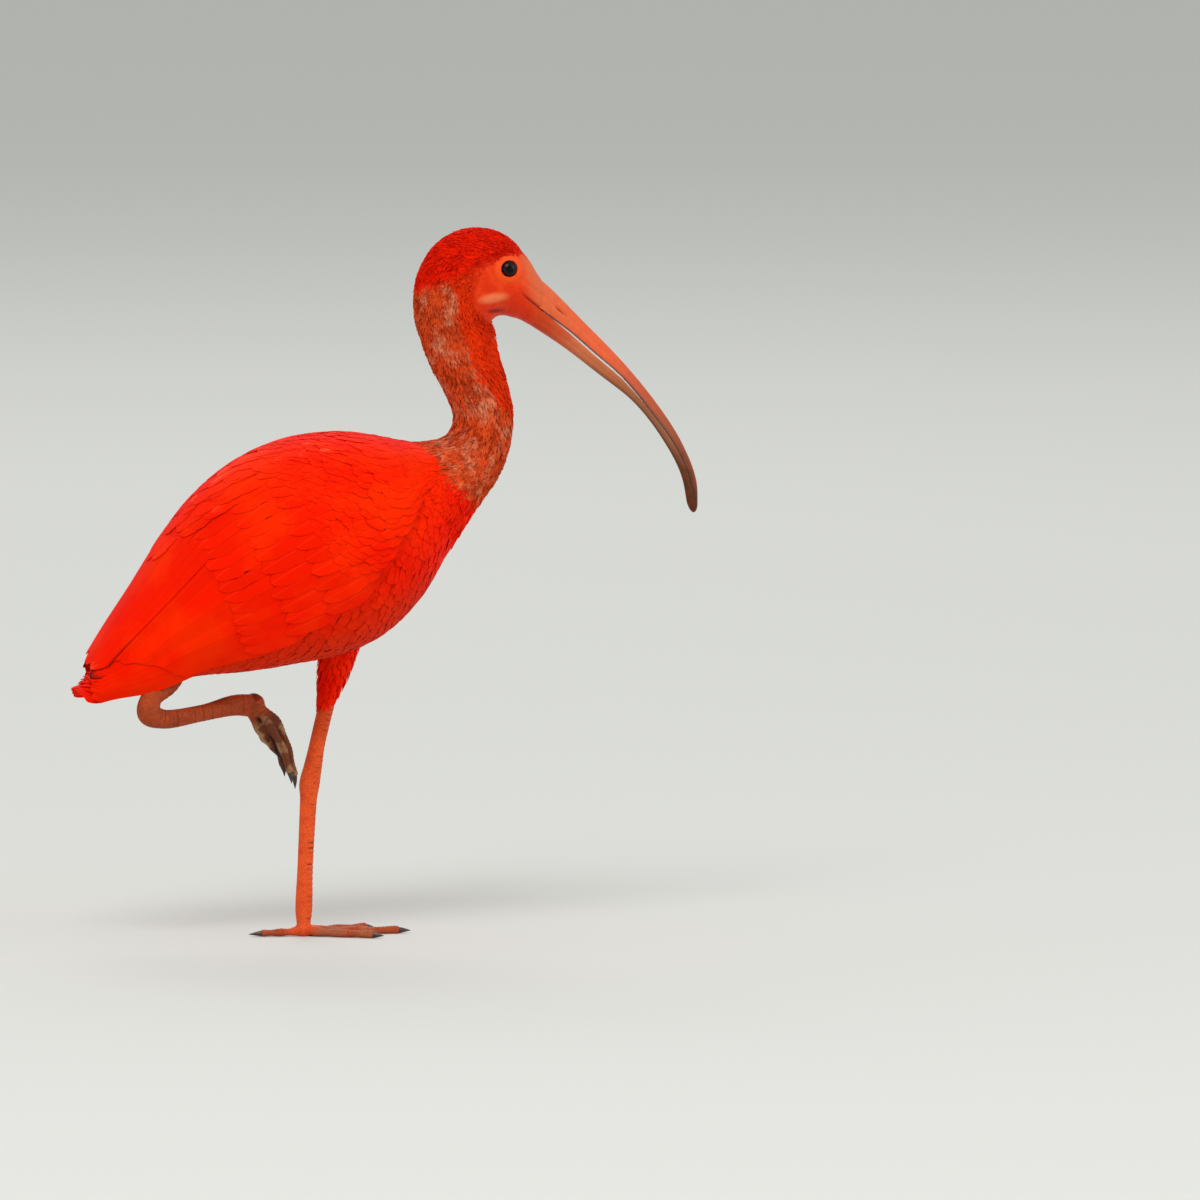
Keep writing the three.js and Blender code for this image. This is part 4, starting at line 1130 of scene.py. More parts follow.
# %% The wing's own skin
def wing_base(side, rows=90, columns=40):
    """A thin closed pad under the feathers, so that no dark gap shows between the coverts."""
    lengthwise, across = np.linspace(28, 200, rows + 1), np.linspace(0, 1, columns + 1)
    station, share = (grid[None] for grid in np.meshgrid(lengthwise, across, indexing="ij"))
    turn = side * np.radians(mix(0.5, eased(LOW_EDGE, station, 1) - 8, share))
    lift = -1.5 - settle(station, turn)
    top, under = wing_tube.point(station, turn, lift), wing_tube.point(station, turn, lift - 1.2)
    values = {"reach": 0.5, "across": 0.5, "shade": 0.5, "barb": 0.0, **dict.fromkeys(ROOT_ZONES, 0.0)}
    return {
        "points": vane_rows(top, under), "faces": vane_faces(rows, columns)[0],
        "places": vane_rows(wing_tube.patch_place(station, turn)),
        "values": {label: vane_rows(np.full(station.shape, value)) for label, value in values.items()},
    }


print("points in a wing's skin:", wing_base(RIGHT)["points"].shape[1])


# %% Wing feathers
def wing_feathers(side, seed):
    rng = np.random.default_rng(seed)
    batches = [wing_base(side)]
    for name, (*layout, stand, shape) in TIERS.items():
        roots = tier_roots(layout, side, rng)
        shape = {**shape, "stand": stand, "tile": side * shape["tile"]}
        batches.append(lay_feathers(wing_tube, roots, shape, rng))
        values, number = batches[-1]["values"], np.arange(layout[0])[:, None]
        if name == "primaries":  # the topmost one's tip is black; those of the others are hidden
            values["dark"] = smooth(0.94, 0.98, values["reach"]) * (number == 0)
        if name == "tertials":  # the lowest one's edge is dark near its end
            # painted shadow: the lowest tertial's outer edge darkens near its end, where it lies over the
            # primaries
            edge = smooth(0.72, 0.98, values["across"] * side) * smooth(0.74, 0.9, values["reach"])
            # painted highlight along the shafts of some tertials
            values["pale"], values["dark"] = highlight_streak(values), 0.65 * edge * (number == number[-1])
    return batches + [lesser_coverts(side, rng), scapulars(side, rng)]


for side, word, seed in ((RIGHT, "right", 101), (LEFT, "left", 202)):
    wing = coat_piece(f"wing_feathers_{word}", wing_feathers(side, seed), PLUMAGE, "plumage")
    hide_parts(f"wing_{word}")

# %% [markdown]
# The tail has twelve feathers in a narrow fan, the middle pair on top and the outer ones hanging
# down at its sides. It grows from a tube whose top is the curve of the fan, so the same laying
# function serves. Six short layers of coverts fill the space between the fan and the wing tips.

# %% Tail
TAIL_ENDS = 22, -50  # along the trunk, as TAIL_RISE and TAIL_HALF are given at these ends
TAIL_RISE = 181, 193.8
TAIL_HALF = 12, 26  # half width and height of the round fan
RECTRIX = {
    **FLIGHT, "crown": 0.1, "tile": 0.0, "unrest": 0.01, "tip_width": 0.85, "out": 0.2, "round": 0.12,
    "thick": 0.12,
}
FEATHER_ROOT, FEATHER_LENGTH, FEATHER_WIDTH = 16.0, 61, 15.0
FAN_TURN, FAN_SHORTER = 0.9, 1.2  # radians round, and millimetres shorter, at a full spread of 1
FAN_HEADING = -0.02  # radians by which a feather at a full spread turns in
COVERT_ROOT, COVERT_WIDTH = 20.0, 17.0
TAIL_COVERTS = [  # how many, radians round of the outer ones, length, height over the fan
    (6, 0.7, 61, 0.3), (5, 0.54, 60.2, 0.9), (4, 0.36, 59.2, 1.6), (3, 0.26, 57.6, 2.5), (4, 0.24, 55.6, 3.6),
    (3, 0.16, 53, 4.9),
]
steps = np.linspace(0, 1, 60)
tail_along, tail_rise, tail_half = (mix(*ends, steps) for ends in (TAIL_ENDS, TAIL_RISE, TAIL_HALF))
tail_tube = Tube(
    from_trunk(tail_along, tail_rise - tail_half), from_trunk(0, tail_half), from_trunk(0, 0, tail_half),
    *TAIL_ENDS, (0.82, 0.62, 0.99, 0.8),
)


def tail_feathers():
    rng = np.random.default_rng(61)
    batches = []
    for number in range(12):
        pair, side = number // 2, (RIGHT, LEFT)[number % 2]
        spread = (pair + 0.35) / 6
        turn, heading = side * spread * FAN_TURN, side * spread * FAN_HEADING
        length = FEATHER_LENGTH - FAN_SHORTER * spread**2 + rng.normal() * 0.1
        roots = [[value] for value in (FEATHER_ROOT, turn, heading, length, FEATHER_WIDTH)]
        layer = -0.2 * (pair + 0.5 * (side == RIGHT))
        batches.append(lay_feathers(tail_tube, roots, {**RECTRIX, "sink": layer - 0.5, "stand": layer}, rng))
    for count, spread, reach, high in TAIL_COVERTS:
        turn = np.linspace(-spread, spread, count)
        flat = np.ones(count)
        roots = (flat * COVERT_ROOT, turn, turn * 0.02, reach - 3 * turn**2, flat * COVERT_WIDTH)
        shape = {**RECTRIX, "sink": -1.0, "stand": high, "out": 0.7, "round": 0.16}
        batches.append(lay_feathers(tail_tube, roots, shape, rng))
    return batches


tail_coat = coat_piece("tail_feathers", tail_feathers(), PLUMAGE, "plumage")
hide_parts("tail")

# %% [markdown]
# The feathered part of each leg wears short soft feathers, which end in a loose fringe above the
# ankle. A thin tube of skin lies under them.

# %% Thighs
THIGH_FEATHER = {**CONTOUR, "sink": -2.0, "stand": 0.1, "crown": 0.4, "tip_width": 0.4, "thick": 0.28}
THIGH_SPACING, THIGH_LENGTHS, THIGH_DEPTH = 3.2, (9, 12), 2.4  # the skin lies this deep
TUCK = 1.5  # how much closer the lowest feathers lie to the shank


def thigh_skin(word, tube):
    station, turn = ring_grid(np.linspace(tube.first, tube.last, 40), 32)
    flat = {"shade": 0.5, "reach": 0.4, "bare": 0.0}
    marks = {label: np.full(station.shape, value) for label, value in flat.items()}
    rows = tube.point(station, turn, -THIGH_DEPTH)
    tube_piece(f"thigh_skin_{word}", rows, SKIN, "plumage", marks, tube.patch_place(station, turn))


def thigh_feathers(tube, ends_at, seed):
    rng = np.random.default_rng(seed)
    station, turn = scatter(tube, THIGH_SPACING, (0.02, ends_at), (0, 2 * math.pi), rng).T
    count = len(station)
    length = rng.uniform(*THIGH_LENGTHS, size=count)
    roots = (station, turn, math.pi + rng.normal(0, 0.1, size=count), length, length * 0.42)
    stand = THIGH_FEATHER["stand"] - TUCK * smooth(ends_at - 0.3, ends_at, station)
    return lay_feathers(tube, roots, {**THIGH_FEATHER, "stand": stand}, rng)


for word, tube, ends_at, seed in (("left", thigh_left, 0.56, 71), ("right", thigh_right, 0.9, 72)):
    thigh_skin(word, tube)
    coat = coat_piece(f"thigh_feathers_{word}", [thigh_feathers(tube, ends_at, seed)], PLUMAGE, "plumage")
    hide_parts(f"thigh_{word}")

# %% [markdown]
# The bill is horn over bone: two long curved halves with a slit of light between them, a groove
# down each side and a nostril in it near the root. Each half is a row of sections cut from one oval,
# so that the two fit each other as they do on the bird.

# %% Bill sizes
CULMEN = [  # x z along the ridge of the upper half
    (134, 376), (141, 371.5), (165, 348), (188, 324.5), (207.5, 301), (222, 279), (231, 256.7), (232, 237),
]
GONYS = [  # x z along the lower edge of the lower half
    (126, 351.5), (133, 347), (152, 334.5), (173, 318.5), (194.4, 301.4), (210, 282), (222, 260),
    (226.5, 238.5),
]
MOUTH = [  # x z along the slit
    (128.2, 363.2), (154.5, 343.7), (171.5, 329.1), (188.3, 314.5), (205.2, 294.5), (216.5, 278.9),
    (225, 262.4), (230.8, 240), (230.9, 226),
]
BILL_HALF = [9.3, 9.3, 5.6, 4.6, 4.1, 3.6, 3.2, 2.8]  # half width at each point of the culmen
MOUTH_GAP = [0.4, 0.6, 1.9, 2.1, 1.6, 0.9, 0.5, 0.4]
BILL_STEPS, OUTER, INNER = 220, 44, 14  # rings, and points on the outside and inside of each
ROUND_END = 0.3  # share of the last stretch over which the tip rounds off
GROOVE_SIDE = 0.66  # how far from the ridge to the slit the groove runs
GROOVE_DEPTH, NOSTRIL_DEPTH, HOLLOW = 0.45, 0.9, 0.16
print("tip of the bill, ahead and up:", CULMEN[-1])


# %% Bill rings
def bill_oval(at):
    """The closed bill's centres, upward half axes, their lengths and half widths; its end is round."""
    ridge, keel = spline(in_plane(CULMEN), at), spline(in_plane(GONYS), at)
    centre, up = (ridge + keel) / 2, (ridge - keel) / 2
    half = spline(np.array(BILL_HALF)[:, None], at)[:, 0]
    tip = np.sqrt(1 - (1 - np.clip((len(CULMEN) - 1 - at) / ROUND_END, 0, 1)) ** 2).clip(0.12)
    return centre, up * tip[:, None], np.linalg.norm(up, axis=-1) * tip, half * tip


def bill_half(upper):
    """Rings of one half of the bill, with how far along it and how near its ridge each point is."""
    at = np.linspace(0, len(CULMEN) - 1, BILL_STEPS)
    centre, up, deep, half = bill_oval(at)
    mouth = spline(in_plane(MOUTH), np.linspace(0, len(MOUTH) - 1, 600))
    toward = mouth[None] - centre[:, None]
    share = np.einsum("ijk,ik->ij", toward, up) / deep[:, None] ** 2
    miss = np.linalg.norm(toward - share[..., None] * up[:, None], axis=-1)
    seam = np.take_along_axis(share, miss.argmin(axis=1)[:, None], axis=1)[:, 0]
    gap = np.interp(at, np.arange(len(MOUTH_GAP)), MOUTH_GAP)
    seam = np.clip(seam + (1 if upper else -1) * gap / 2 / deep, -0.9, 0.9)
    limit = np.arccos(seam)[:, None]
    spread = np.linspace(-1, 1, OUTER)[None]
    angle = limit * spread if upper else math.pi + (math.pi - limit) * spread
    beside = np.abs(spread) - GROOVE_SIDE
    groove = fold(beside, 0.09) * smooth(200, 120, at[:, None] * 30)
    nostril = fold(beside, 0.05) * fold(at[:, None] - 1.5, 0.16) * upper
    depth = GROOVE_DEPTH * groove * (1 if upper else 0.6) + NOSTRIL_DEPTH * nostril
    size = 1 - depth / np.hypot(deep[:, None] * np.cos(angle), half[:, None] * np.sin(angle)).clip(0.5)
    outer = centre[:, None] + up[:, None] * (np.cos(angle) * size)[..., None]
    outer[..., 1] += half[:, None] * np.sin(angle) * size
    edge = np.linspace(1, -1, INNER + 2)[1:-1][None]
    hollow = seam[:, None] + (HOLLOW if upper else -HOLLOW) * (1 - edge**2) * (half / deep)[:, None]
    inner = centre[:, None] + up[:, None] * hollow[..., None]
    inner[..., 1] += half[:, None] * np.sin(limit) * edge * (1 if upper else -1)
    rings = np.concatenate([outer, inner], axis=1)
    none = np.zeros_like(hollow)
    return rings, {
        "run": np.broadcast_to(at[:, None] / at[-1], rings.shape[:2]),
        "ridge": np.concatenate([1 - np.abs(spread) + 0 * angle, none], axis=1),
        "nostril": np.concatenate([nostril * np.ones_like(angle), none], axis=1),
    }


print("rings and points of a half:", bill_half(True)[0].shape[:2])

# %% Bill finish
TIP_BROWN, PATCH_BROWN = (0.055, 0.018, 0.006, 1), (0.4, 0.05, 0.015, 1)
NOSTRIL_SHADOW = (0.3, 0.032, 0.012, 1)
UPPER_STOPS = [  # share of the length, colour
    (0.0, UPPER_ROOT), (1.0, TIP_BROWN), (0.1, UPPER_ROOT), (0.36, (0.72, 0.105, 0.033, 1)),
    (0.52, (0.5, 0.085, 0.033, 1)), (0.68, (0.28, 0.075, 0.034, 1)), (0.8, (0.11, 0.035, 0.014, 1)),
]
LOWER_STOPS = [
    (0.0, LOWER_ROOT), (1.0, TIP_BROWN), (0.18, LOWER_ROOT), (0.34, (0.6, 0.16, 0.065, 1)),
    (0.56, (0.36, 0.13, 0.055, 1)), (0.72, (0.28, 0.12, 0.06, 1)), (0.82, (0.1, 0.04, 0.016, 1)),
]


def bill_material(name, stops, ridge_colour, ridge_from):
    """Horn from salmon at the root to dark brown at the tip, with a ridge of its own colour."""
    made, net, shader = new_material(name)
    place = net.place()
    wander = net.math("SUBTRACT", net.noise(place, 90.0, 4.0, 0.6), 0.5)
    run = net.math("ADD", net.value("run"), net.math("MULTIPLY", wander, 0.12))
    ramp = net.node("ShaderNodeValToRGB", {"Fac": run})
    for number, (position, colour) in enumerate(stops):  # a new ramp has its first and last stop already
        stop = ramp.color_ramp.elements[number] if number < 2 else ramp.color_ramp.elements.new(position)
        stop.position, stop.color = position, colour
    on_ridge = net.math("MULTIPLY", net.reach(net.value("ridge"), 0.35, 0.85), net.reach(run, *ridge_from))
    colour = net.blend(on_ridge, ramp.outputs["Color"], ridge_colour)
    colour = mottled(net, place, colour, PATCH_BROWN, 240.0, 0.2)
    # painted shade in the nostril's slit
    colour = net.blend(net.reach(net.value("nostril"), 0.3, 1.0), colour, NOSTRIL_SHADOW)
    colour_and_bump(net, shader, colour, net.noise(place, 420.0, 5.0, 0.6), 0.35, 0.0004)
    shine(shader, 0.42, 0.3, (1, 0.5, 0.35))
    return made


BILL_UPPER = bill_material("bill_upper_horn", UPPER_STOPS, (0.42, 0.06, 0.028, 1), (0.4, 0.75))
BILL_LOWER = bill_material("bill_lower_horn", LOWER_STOPS, (0.09, 0.02, 0.006, 1), (0.3, 0.6))
for word, upper, finish in (("upper", True, BILL_UPPER), ("lower", False, BILL_LOWER)):
    rows, marks = bill_half(upper)
    half_piece = tube_piece(f"bill_{word}_half", rows, finish, "bill", marks, corner_angle=55)
    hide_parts(f"bill_{word}")

# %% [markdown]
# The eye is a dark glossy ball. Its lids are a ring of creased skin, thick at the rim, which sinks
# into the face at its outer edge. The ring is laid on the skin by casting rays at it, so it follows
# the curve of the cheek.

# %% Eyes
EYE_RADIUS, PUPIL_RADIUS = 5.7, 4.2
EYE_FRONT = 1.0  # how far the ball stands out from the skin under it
PUPIL_BLACK, IRIS_BROWN = (0.001, 0.001, 0.001, 1), (0.022, 0.006, 0.008, 1)
RIM_BLACK = (0.006, 0.002, 0.002, 1)
skin_tree = BVHTree.FromObject(skin_piece, bpy.context.evaluated_depsgraph_get())


def eye_material():
    """A black pupil in a dark iris under a clear wet coat."""
    made, net, shader = new_material("eye_glass")
    ring = net.value("ring")
    iris = net.blend(net.reach(ring, 0.5, 0.56), PUPIL_BLACK, IRIS_BROWN)
    net.join(net.blend(net.reach(ring, 0.86, 0.94), iris, RIM_BLACK), shader.inputs["Base Color"])
    shine(shader, 0.2, 0.05, (0.4, 0.3, 0.4))
    shader.inputs["Coat Weight"].default_value = 0.22
    shader.inputs["Coat Roughness"].default_value = 0.03
    return made


def face_at(x, z, side):
    """How far out the skin lies at a place seen from the side."""
    hit = skin_tree.ray_cast(Vector((x * MM, side * 0.1, z * MM)), Vector((0, -side, 0)))[0]
    return side * hit.y / MM if hit else 10.0


def ball_grid(margin, rings, sides):
    """Tilt from one pole, which is left open by a small margin, and turn round it."""
    return ring_grid(np.linspace(margin, math.pi - margin, rings), sides)


def eyeball_piece(word, side):
    """A ball with its poles out and in, which carries the radius seen from outside for its finish."""
    tilt, turn = ball_grid(0.02, 28, 56)
    bulge = EYE_RADIUS * (1 + 0.03 * fold(tilt, 0.5))
    out = face_at(EYE[0], EYE[2] - 6.4, side) + EYE_FRONT - EYE_RADIUS
    rows = np.stack([
        EYE[0] + bulge * np.sin(tilt) * np.cos(turn), side * (out + bulge * np.cos(tilt)),
        EYE[2] + bulge * np.sin(tilt) * np.sin(turn),
    ], axis=-1)
    marks = {"ring": np.sin(tilt) * EYE_RADIUS / PUPIL_RADIUS}
    ball = tube_piece(f"eyeball_{word}", rows, EYE_GLASS, "eye", marks)
    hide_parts(f"eye_{word}")


EYE_GLASS = eye_material()
print("skin under the eye, off the middle plane:", round(face_at(EYE[0], EYE[2] - 6.4, LEFT), 1), "mm")

# %% Lids
LID_RINGS = [  # distance from the eye's middle, height above the face
    (4.2, -3.4), (4.5, -1.7), (4.7, -0.4), (5.0, 0.25), (5.4, 0.45), (5.8, 0.36), (6.2, 0.16), (6.6, 0.2),
    (7.0, 0.18), (7.6, 0.04), (8.4, -0.1), (9.4, -0.5),
]
LID_STRETCH, LID_SQUASH = 1.06, 0.96  # towards the nape, and up and down
SOCKET_EDGE = 6.2  # the face inside it is the socket's wall, so heights start from here
LID_THICKNESS, CREASE_DEPTH, CREASES = 0.8, 0.08, 23


def lids(side, sides=96):
    """Rings of the lids' outer face, laid on the skin."""
    rows = []
    for away, high in LID_RINGS:
        ring = []
        for turn in full_turn(sides):
            crease = CREASE_DEPTH * math.sin(turn * CREASES) * fold(away - 6.3, 1.0)
            across = (1.0 if math.cos(turn) > 0 else LID_STRETCH) * math.cos(turn)
            up, reach = LID_SQUASH * math.sin(turn), max(away, SOCKET_EDGE)
            level = face_at(EYE[0] + reach * across, EYE[2] + reach * up, side)
            ring.append((EYE[0] + away * across, side * (level + high + crease), EYE[2] + away * up))
        rows.append(ring)
    return np.array(rows)


def lids_piece(word, side):
    """The lids' outer face and an inner one behind it, joined at both edges."""
    front = lids(side)
    rows = np.concatenate([front, front[::-1] - [0, side * LID_THICKNESS, 0]])
    rings, sides = rows.shape[:2]
    step = np.arange(sides)
    after, last = (step + 1) % sides, (rings - 1) * sides
    rim = np.stack([last + step, last + after, after, step], axis=-1)
    faces = np.vstack([tube_faces(rings, sides), rim])
    flat = {"bare": 1.0, "lid": 1.0, "reach": 0.5}
    marks = {label: np.full(rings * sides, value) for label, value in flat.items()}
    make_piece(f"lids_{word}", rows.reshape(-1, 3), [faces], SKIN, "plumage", marks)


for word, side in (("right", RIGHT), ("left", LEFT)):
    eyeball_piece(word, side)
    lids_piece(word, side)

# %% [markdown]
# Bare legs are scaly. Tubes for shank and toes are melted into one skin by a voxel remesh, so no
# joint shows, and then the broad scutes down the front are raised by moving points in and out along
# each limb's path. Finer scales are bump alone.

# %% Toes
TOES = [  # length, splay, root and end radius, claw; the hind toe is the first
    (24, 176, 2.7, 2.0, 8), (42, -31, 3.0, 2.2, 7), (56, 1, 3.2, 2.3, 8), (48, 29, 3.0, 2.2, 7),
]
TOE_HEIGHTS = [(0, 4.2), (0.18, 2.7), (0.55, 2.1), (1, 1.9)]  # share of a toe's length, height
RAISED_TOES = [  # bend, tip
    ((-24.5, 5.5, 118), (-16, 4.5, 107)), ((-20, 8.8, 120.5), (-9.5, 9, 97)),
    ((-15, 4, 122.5), (-4.5, 3, 91.5)), ((-19, -0.8, 120), (-8, -2, 94)),
]


def standing_toe_path(number):
    length, splay = TOES[number][:2]
    reach = length * np.array([math.cos(math.radians(splay)), math.sin(math.radians(splay)), 0])
    return np.array([reach * share + [0, 0, z] for share, z in TOE_HEIGHTS])


def raised_toe_path(number):
    bend, tip = (np.array(point, float) for point in RAISED_TOES[number])
    root = RAISED_TOE_JOINT + ([-2, 0, -3] if number == 0 else [1, 0, 1])
    low = (bend + tip) / 2 + [-0.5 if number == 0 else 1.4, 0, 0]
    return np.array([root, bend, low, tip])


def toe_rows(path, root, end, sides=18, steps=46):
    """Rings of a toe that swells at its joints and flattens a little underneath."""
    share = np.linspace(0, 1, steps)
    centres = spline(path, share * (len(path) - 1))
    ahead = unit(np.gradient(centres, axis=0))
    side = unit(np.cross(ahead, [0, 0, 1]))
    up = unit(np.cross(side, ahead))
    radius = mix(root, end, share) * (1 + 0.12 * np.cos(share * 6 * math.pi))
    turn = full_turn(sides)
    return (
        centres[:, None] + side[:, None] * (radius[:, None] * np.sin(turn))[..., None]
        + up[:, None] * (radius[:, None] * np.cos(turn) * np.where(np.cos(turn) < 0, 0.85, 1))[..., None]
    )


def ball_rows(centre, radii):
    """Rings of an oval pad under a joint of the foot."""
    tilt, turn = ball_grid(0.05, 16, 24)
    shape = np.stack([np.sin(tilt) * np.cos(turn), np.sin(tilt) * np.sin(turn), np.cos(tilt)], axis=-1)
    return np.array(centre) + shape * radii


standing_paths, raised_paths = (
    [path_of(number) for number in range(len(TOES))] for path_of in (standing_toe_path, raised_toe_path)
)
print("tip of the middle toe:", standing_paths[2][-1].round())


# %% Melting limbs together
VOXEL, MELT_PASSES = 0.6, 3  # millimetres, and rounds of smoothing


def melted(grids):
    """One skin round all the given tubes: its points in millimetres, their normals and its faces."""
    points, faces = closed_tubes(grids)
    mesh = bpy.data.meshes.new("melting")
    mesh.from_pydata(points.tolist(), [], [face for group in faces for face in group.tolist()])
    rough = new_object("melting", mesh)
    remesh = rough.modifiers.new("remesh", "REMESH")
    remesh.mode, remesh.voxel_size = "VOXEL", VOXEL
    even = rough.modifiers.new("even", "SMOOTH")
    even.factor, even.iterations = 0.5, MELT_PASSES
    done = rough.evaluated_get(bpy.context.evaluated_depsgraph_get()).to_mesh()
    found = {label: np.zeros(len(done.vertices) * 3) for label in ("co", "normal")}
    for label, flat in found.items():
        done.vertices.foreach_get(label, flat)
    melted_faces = [tuple(face.vertices) for face in done.polygons]
    bpy.data.objects.remove(rough)
    bpy.data.meshes.remove(mesh)
    return found["co"].reshape(-1, 3), found["normal"].reshape(-1, 3), melted_faces


def nearest_on_paths(points, paths):
    """For each point the nearest path's number, the millimetres along it and the way out from it."""
    best = np.full(len(points), 1e9)
    number, travelled, out = np.zeros(len(points), int), np.zeros(len(points)), np.zeros_like(points)
    for index, path in enumerate(paths):
        line = spline(path, np.linspace(0, len(path) - 1, 260))
        arc = np.concatenate([[0], np.cumsum(np.linalg.norm(np.diff(line, axis=0), axis=1))])
        gaps = points[:, None] - line[None]
        far = np.einsum("ijk,ijk->ij", gaps, gaps)
        close = far.argmin(axis=1)
        least = far[np.arange(len(points)), close]
        nearer = least < best
        best[nearer], number[nearer], travelled[nearer] = least[nearer], index, arc[close[nearer]]
        out[nearer] = gaps[np.arange(len(points)), close][nearer]
    return number, travelled, unit(out)


print("voxels to a millimetre:", round(1 / VOXEL, 2))


# %% Leg finish
SEAM_BROWN, WORN_TAN = (0.14, 0.02, 0.006, 1), (0.36, 0.2, 0.09, 1)


def leg_material(name, bright, dull, toe_colour):
    """Two tones of red in patches, dark seams round small scales, and worn toes."""
    made, net, shader = new_material(name)
    place = net.place()
    colour = net.blend(net.value("toes"), mottled(net, place, bright, dull, 120.0, 0.8), toe_colour)
    cells = net.node(
        "ShaderNodeTexVoronoi", {"Vector": place, "Scale": 620.0}, feature="DISTANCE_TO_EDGE",
    ).outputs[0]
    scales = net.reach(cells, 0.01, 0.12)
    between = net.math("MULTIPLY", net.math("SUBTRACT", 1.0, scales), 0.28)
    worn = net.math("MULTIPLY", net.reach(net.noise(place, 85.0, 3.0), 0.5, 0.6), net.value("worn"))
    for share, tint in ((between, SEAM_BROWN), (worn, WORN_TAN), (net.value("seam"), SEAM_BROWN)):
        colour = net.blend(share, colour, tint)
    colour_and_bump(net, shader, colour, scales, 0.5, 0.0004)
    shine(shader, 0.5, 0.3, (1, 0.5, 0.35))
    return made


LEG_STANDING = leg_material(
    "leg_skin_bright", (0.8, 0.09, 0.016, 1), (0.66, 0.06, 0.01, 1), (0.4, 0.06, 0.02, 1),
)
# The raised leg is a shaded copy: its reds are painted darker as shade under the body, and its toes darker
# still, partly shade and partly stain.
LEG_RAISED_SHADED = leg_material(
    "leg_skin_shaded", (0.4, 0.055, 0.013, 1), (0.27, 0.035, 0.008, 1), (0.12, 0.03, 0.012, 1),
)
print("nodes in a leg's finish:", len(LEG_STANDING.node_tree.nodes))

# %% Legs
TOE_SCUTE, SHANK_SCUTE, SCUTE_HEIGHT = 2.3, 3.1, 0.32  # millimetres
STANDING_PADS = [((0.6, 0, 3.6), (5.4, 5, 4.6))]  # middle, radii
RAISED_PADS = [(RAISED_TOE_JOINT + [0.5, 0, 0], (6.6, 5.6, 7.4)), ((-21.5, 4, 117), (3.6, 3.4, 6.5))]


def leg_piece(word, shank, toe_paths, pads, finish, worn):
    """Shank, toes and pads as one scaly skin, which stops at the floor."""
    grids = [shank.point(*ring_grid(np.linspace(0, 1, 220), 28))]
    grids += [toe_rows(path, *TOES[number][2:4]) for number, path in enumerate(toe_paths)]
    grids += [ball_rows(*pad) for pad in pads]
    points, normals, faces = melted(grids)
    number, travelled, out = nearest_on_paths(points, [shank.centres[::4], *toe_paths])
    on_toe = number > 0
    phase = (travelled / np.where(on_toe, TOE_SCUTE, SHANK_SCUTE)) % 1
    front = np.where(on_toe, smooth(-0.1, 0.4, out[:, 2]), smooth(-0.2, 0.4, out[:, 0]))
    scute = np.sin(phase * math.pi) ** 0.5
    points = points + normals * ((scute - 0.6) * SCUTE_HEIGHT * front)[:, None]
    points[:, 2] = np.maximum(points[:, 2], 0)
    toes = on_toe * smooth(3, 14, travelled)
    marks = {"toes": toes, "seam": smooth(0.35, 0.1, scute) * front * 0.8, "worn": toes * worn}
    sorted_faces = [[face for face in faces if len(face) == corners] for corners in (4, 3)]
    groups = [np.array(group) for group in sorted_faces if group]
    leg = make_piece(f"leg_{word}", points, groups, finish, "leg_skin", marks)
    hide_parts(*(f"{part}_{word}" for part in ("shin", "tarsus", "foot")))


leg_piece("left", shank_left, standing_paths, STANDING_PADS, LEG_STANDING, 0.3)
leg_piece("right", shank_right, raised_paths, RAISED_PADS, LEG_RAISED_SHADED, 0.9)

# %% Claws
CLAW_BLACK, CLAW_BROWN = (0.028, 0.015, 0.01, 1), (0.09, 0.045, 0.025, 1)
CLAW_FLOOR = 0.05  # millimetres over the floor that a claw keeps


def claw_material():
    """Black horn with brown patches."""
    made, net, shader = new_material("claw_horn")
    net.join(mottled(net, net.place(), CLAW_BLACK, CLAW_BROWN, 300.0, 0.6), shader.inputs["Base Color"])
    shader.inputs["Roughness"].default_value = 0.3
    return made


CLAW_HORN = claw_material()


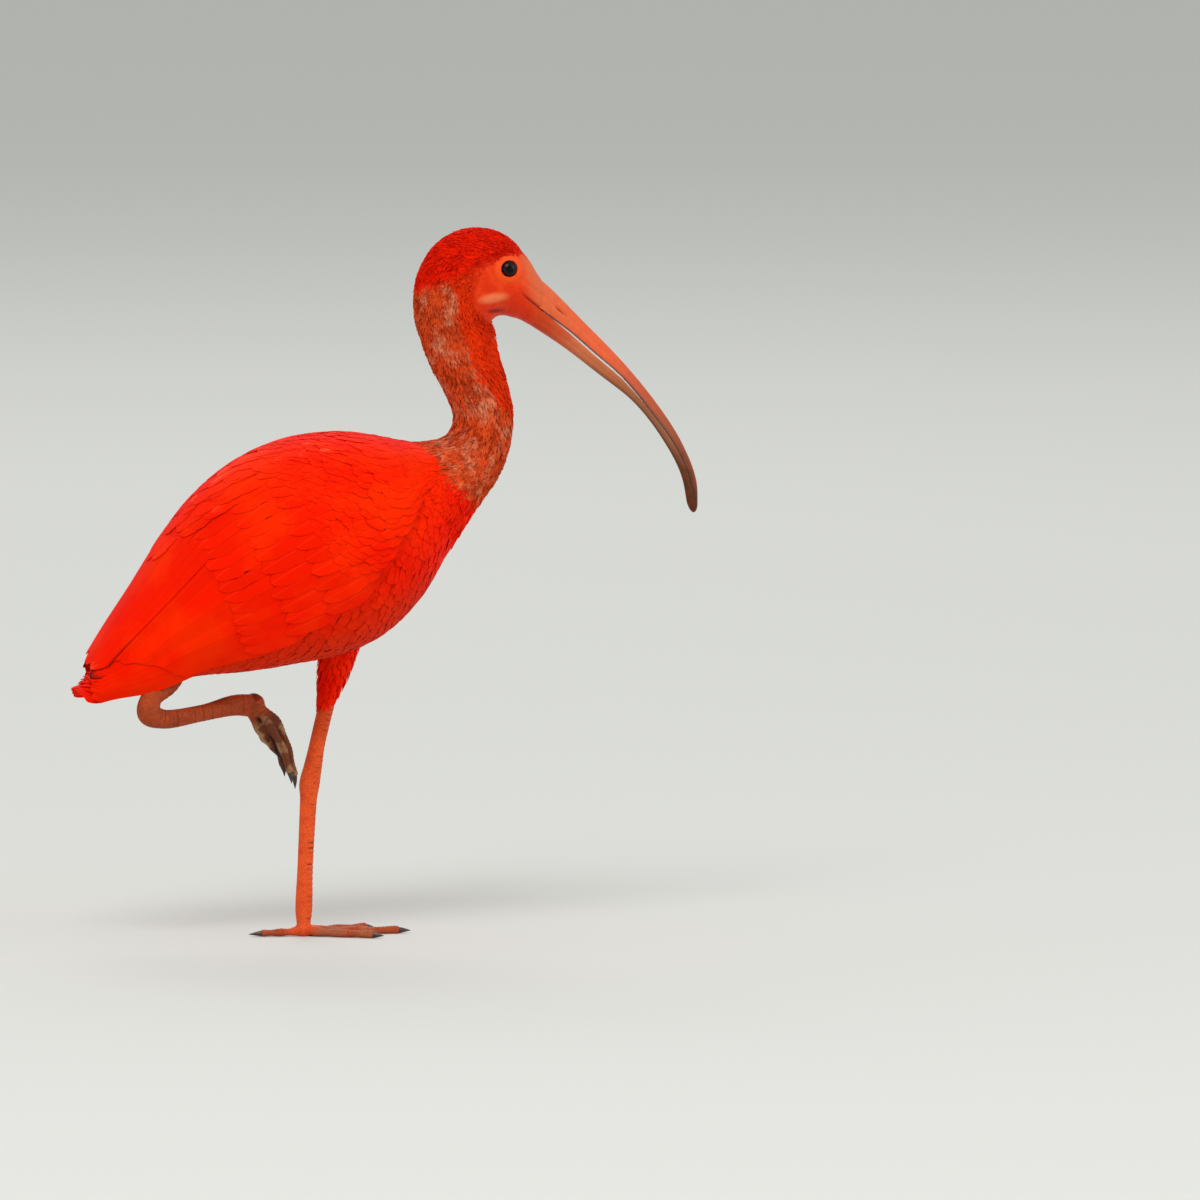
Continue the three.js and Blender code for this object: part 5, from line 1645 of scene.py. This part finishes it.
def claw_rows(path, number, hook, sides=14, steps=18):
    """Rings of a claw that leaves its toe straight and hooks over towards its tip."""
    length, radius = TOES[number][4], TOES[number][3] * 0.85
    ahead = unit(spline(path, [3.0]) - spline(path, [2.9]))[0]
    share = np.linspace(0, 1, steps)[:, None]
    centres = path[-1] + ahead * (share * length - 0.6) + np.array(hook) * length * 0.14 * share**2
    ahead_at = unit(np.gradient(centres, axis=0))
    side = unit(np.cross(ahead_at, hook))
    up = unit(np.cross(side, ahead_at))
    size = radius * (1 - share**1.3 * 0.94)
    turn = full_turn(sides)
    ring = side[:, None] * np.sin(turn)[None, :, None] * 0.8 + up[:, None] * np.cos(turn)[None, :, None]
    rows = centres[:, None] + ring * size[:, None]
    rows[..., 2] = np.maximum(rows[..., 2], CLAW_FLOOR)
    return rows


def claws_piece(word, paths, hook):
    points, faces = closed_tubes([claw_rows(path, number, hook) for number, path in enumerate(paths)])
    piece = make_piece(f"claws_{word}", points, faces, CLAW_HORN, "claw")
    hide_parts(*(f"claw_{word}_{number}" for number in range(1, 5)))


claws_piece("left", standing_paths, (0, 0, -0.3))
claws_piece("right", raised_paths, (-1, 0, -0.2))

# %% [markdown]
# Floor and light: a plain pale floor under soft light from a large lamp on the camera's left, weaker
# ones from the right and from behind, and a pale surround, as in a photographer's tent.

# %% Stage
FLOOR_SIDE = 20  # half of it, in metres
LAMP_AIM = Vector((0.02, 0, 0.22))
LAMPS = [  # name, place, size, power
    ("key_lamp", (-2.0, -3.6, 4.6), 2.8, 178), ("fill_lamp", (3.4, -2.2, 1.5), 3.0, 50),
    ("back_lamp", (0.6, 3.8, 3.6), 2.6, 50),
]
corners = [(x * FLOOR_SIDE, y * FLOOR_SIDE, 0) for x, y in ((-1, -1), (1, -1), (1, 1), (-1, 1))]
floor_mesh = bpy.data.meshes.new("floor")
floor_mesh.from_pydata(corners, [], [(0, 1, 2, 3)])
floor_paint, _, floor_shader = new_material("floor_paint")
floor_shader.inputs["Base Color"].default_value = (0.62, 0.62, 0.59, 1)
floor_shader.inputs["Roughness"].default_value = 0.9
floor_mesh.materials.append(floor_paint)
new_object("floor", floor_mesh)
world = bpy.data.worlds.new("studio")
bpy.context.scene.world = world
world.use_nodes = True
surround = world.node_tree.nodes["Background"].inputs
surround["Color"].default_value = (0.86, 0.88, 0.87, 1)
surround["Strength"].default_value = 0.75
for name, place, size, power in LAMPS:
    lamp = new_object(name, bpy.data.lights.new(name, "AREA"))
    lamp.data.size, lamp.data.energy, lamp.location = size, power, place
    aim(lamp, LAMP_AIM - Vector(place))
bpy.context.scene.view_settings.view_transform = "Standard"
print("lamps:", [name for name, *_ in LAMPS])
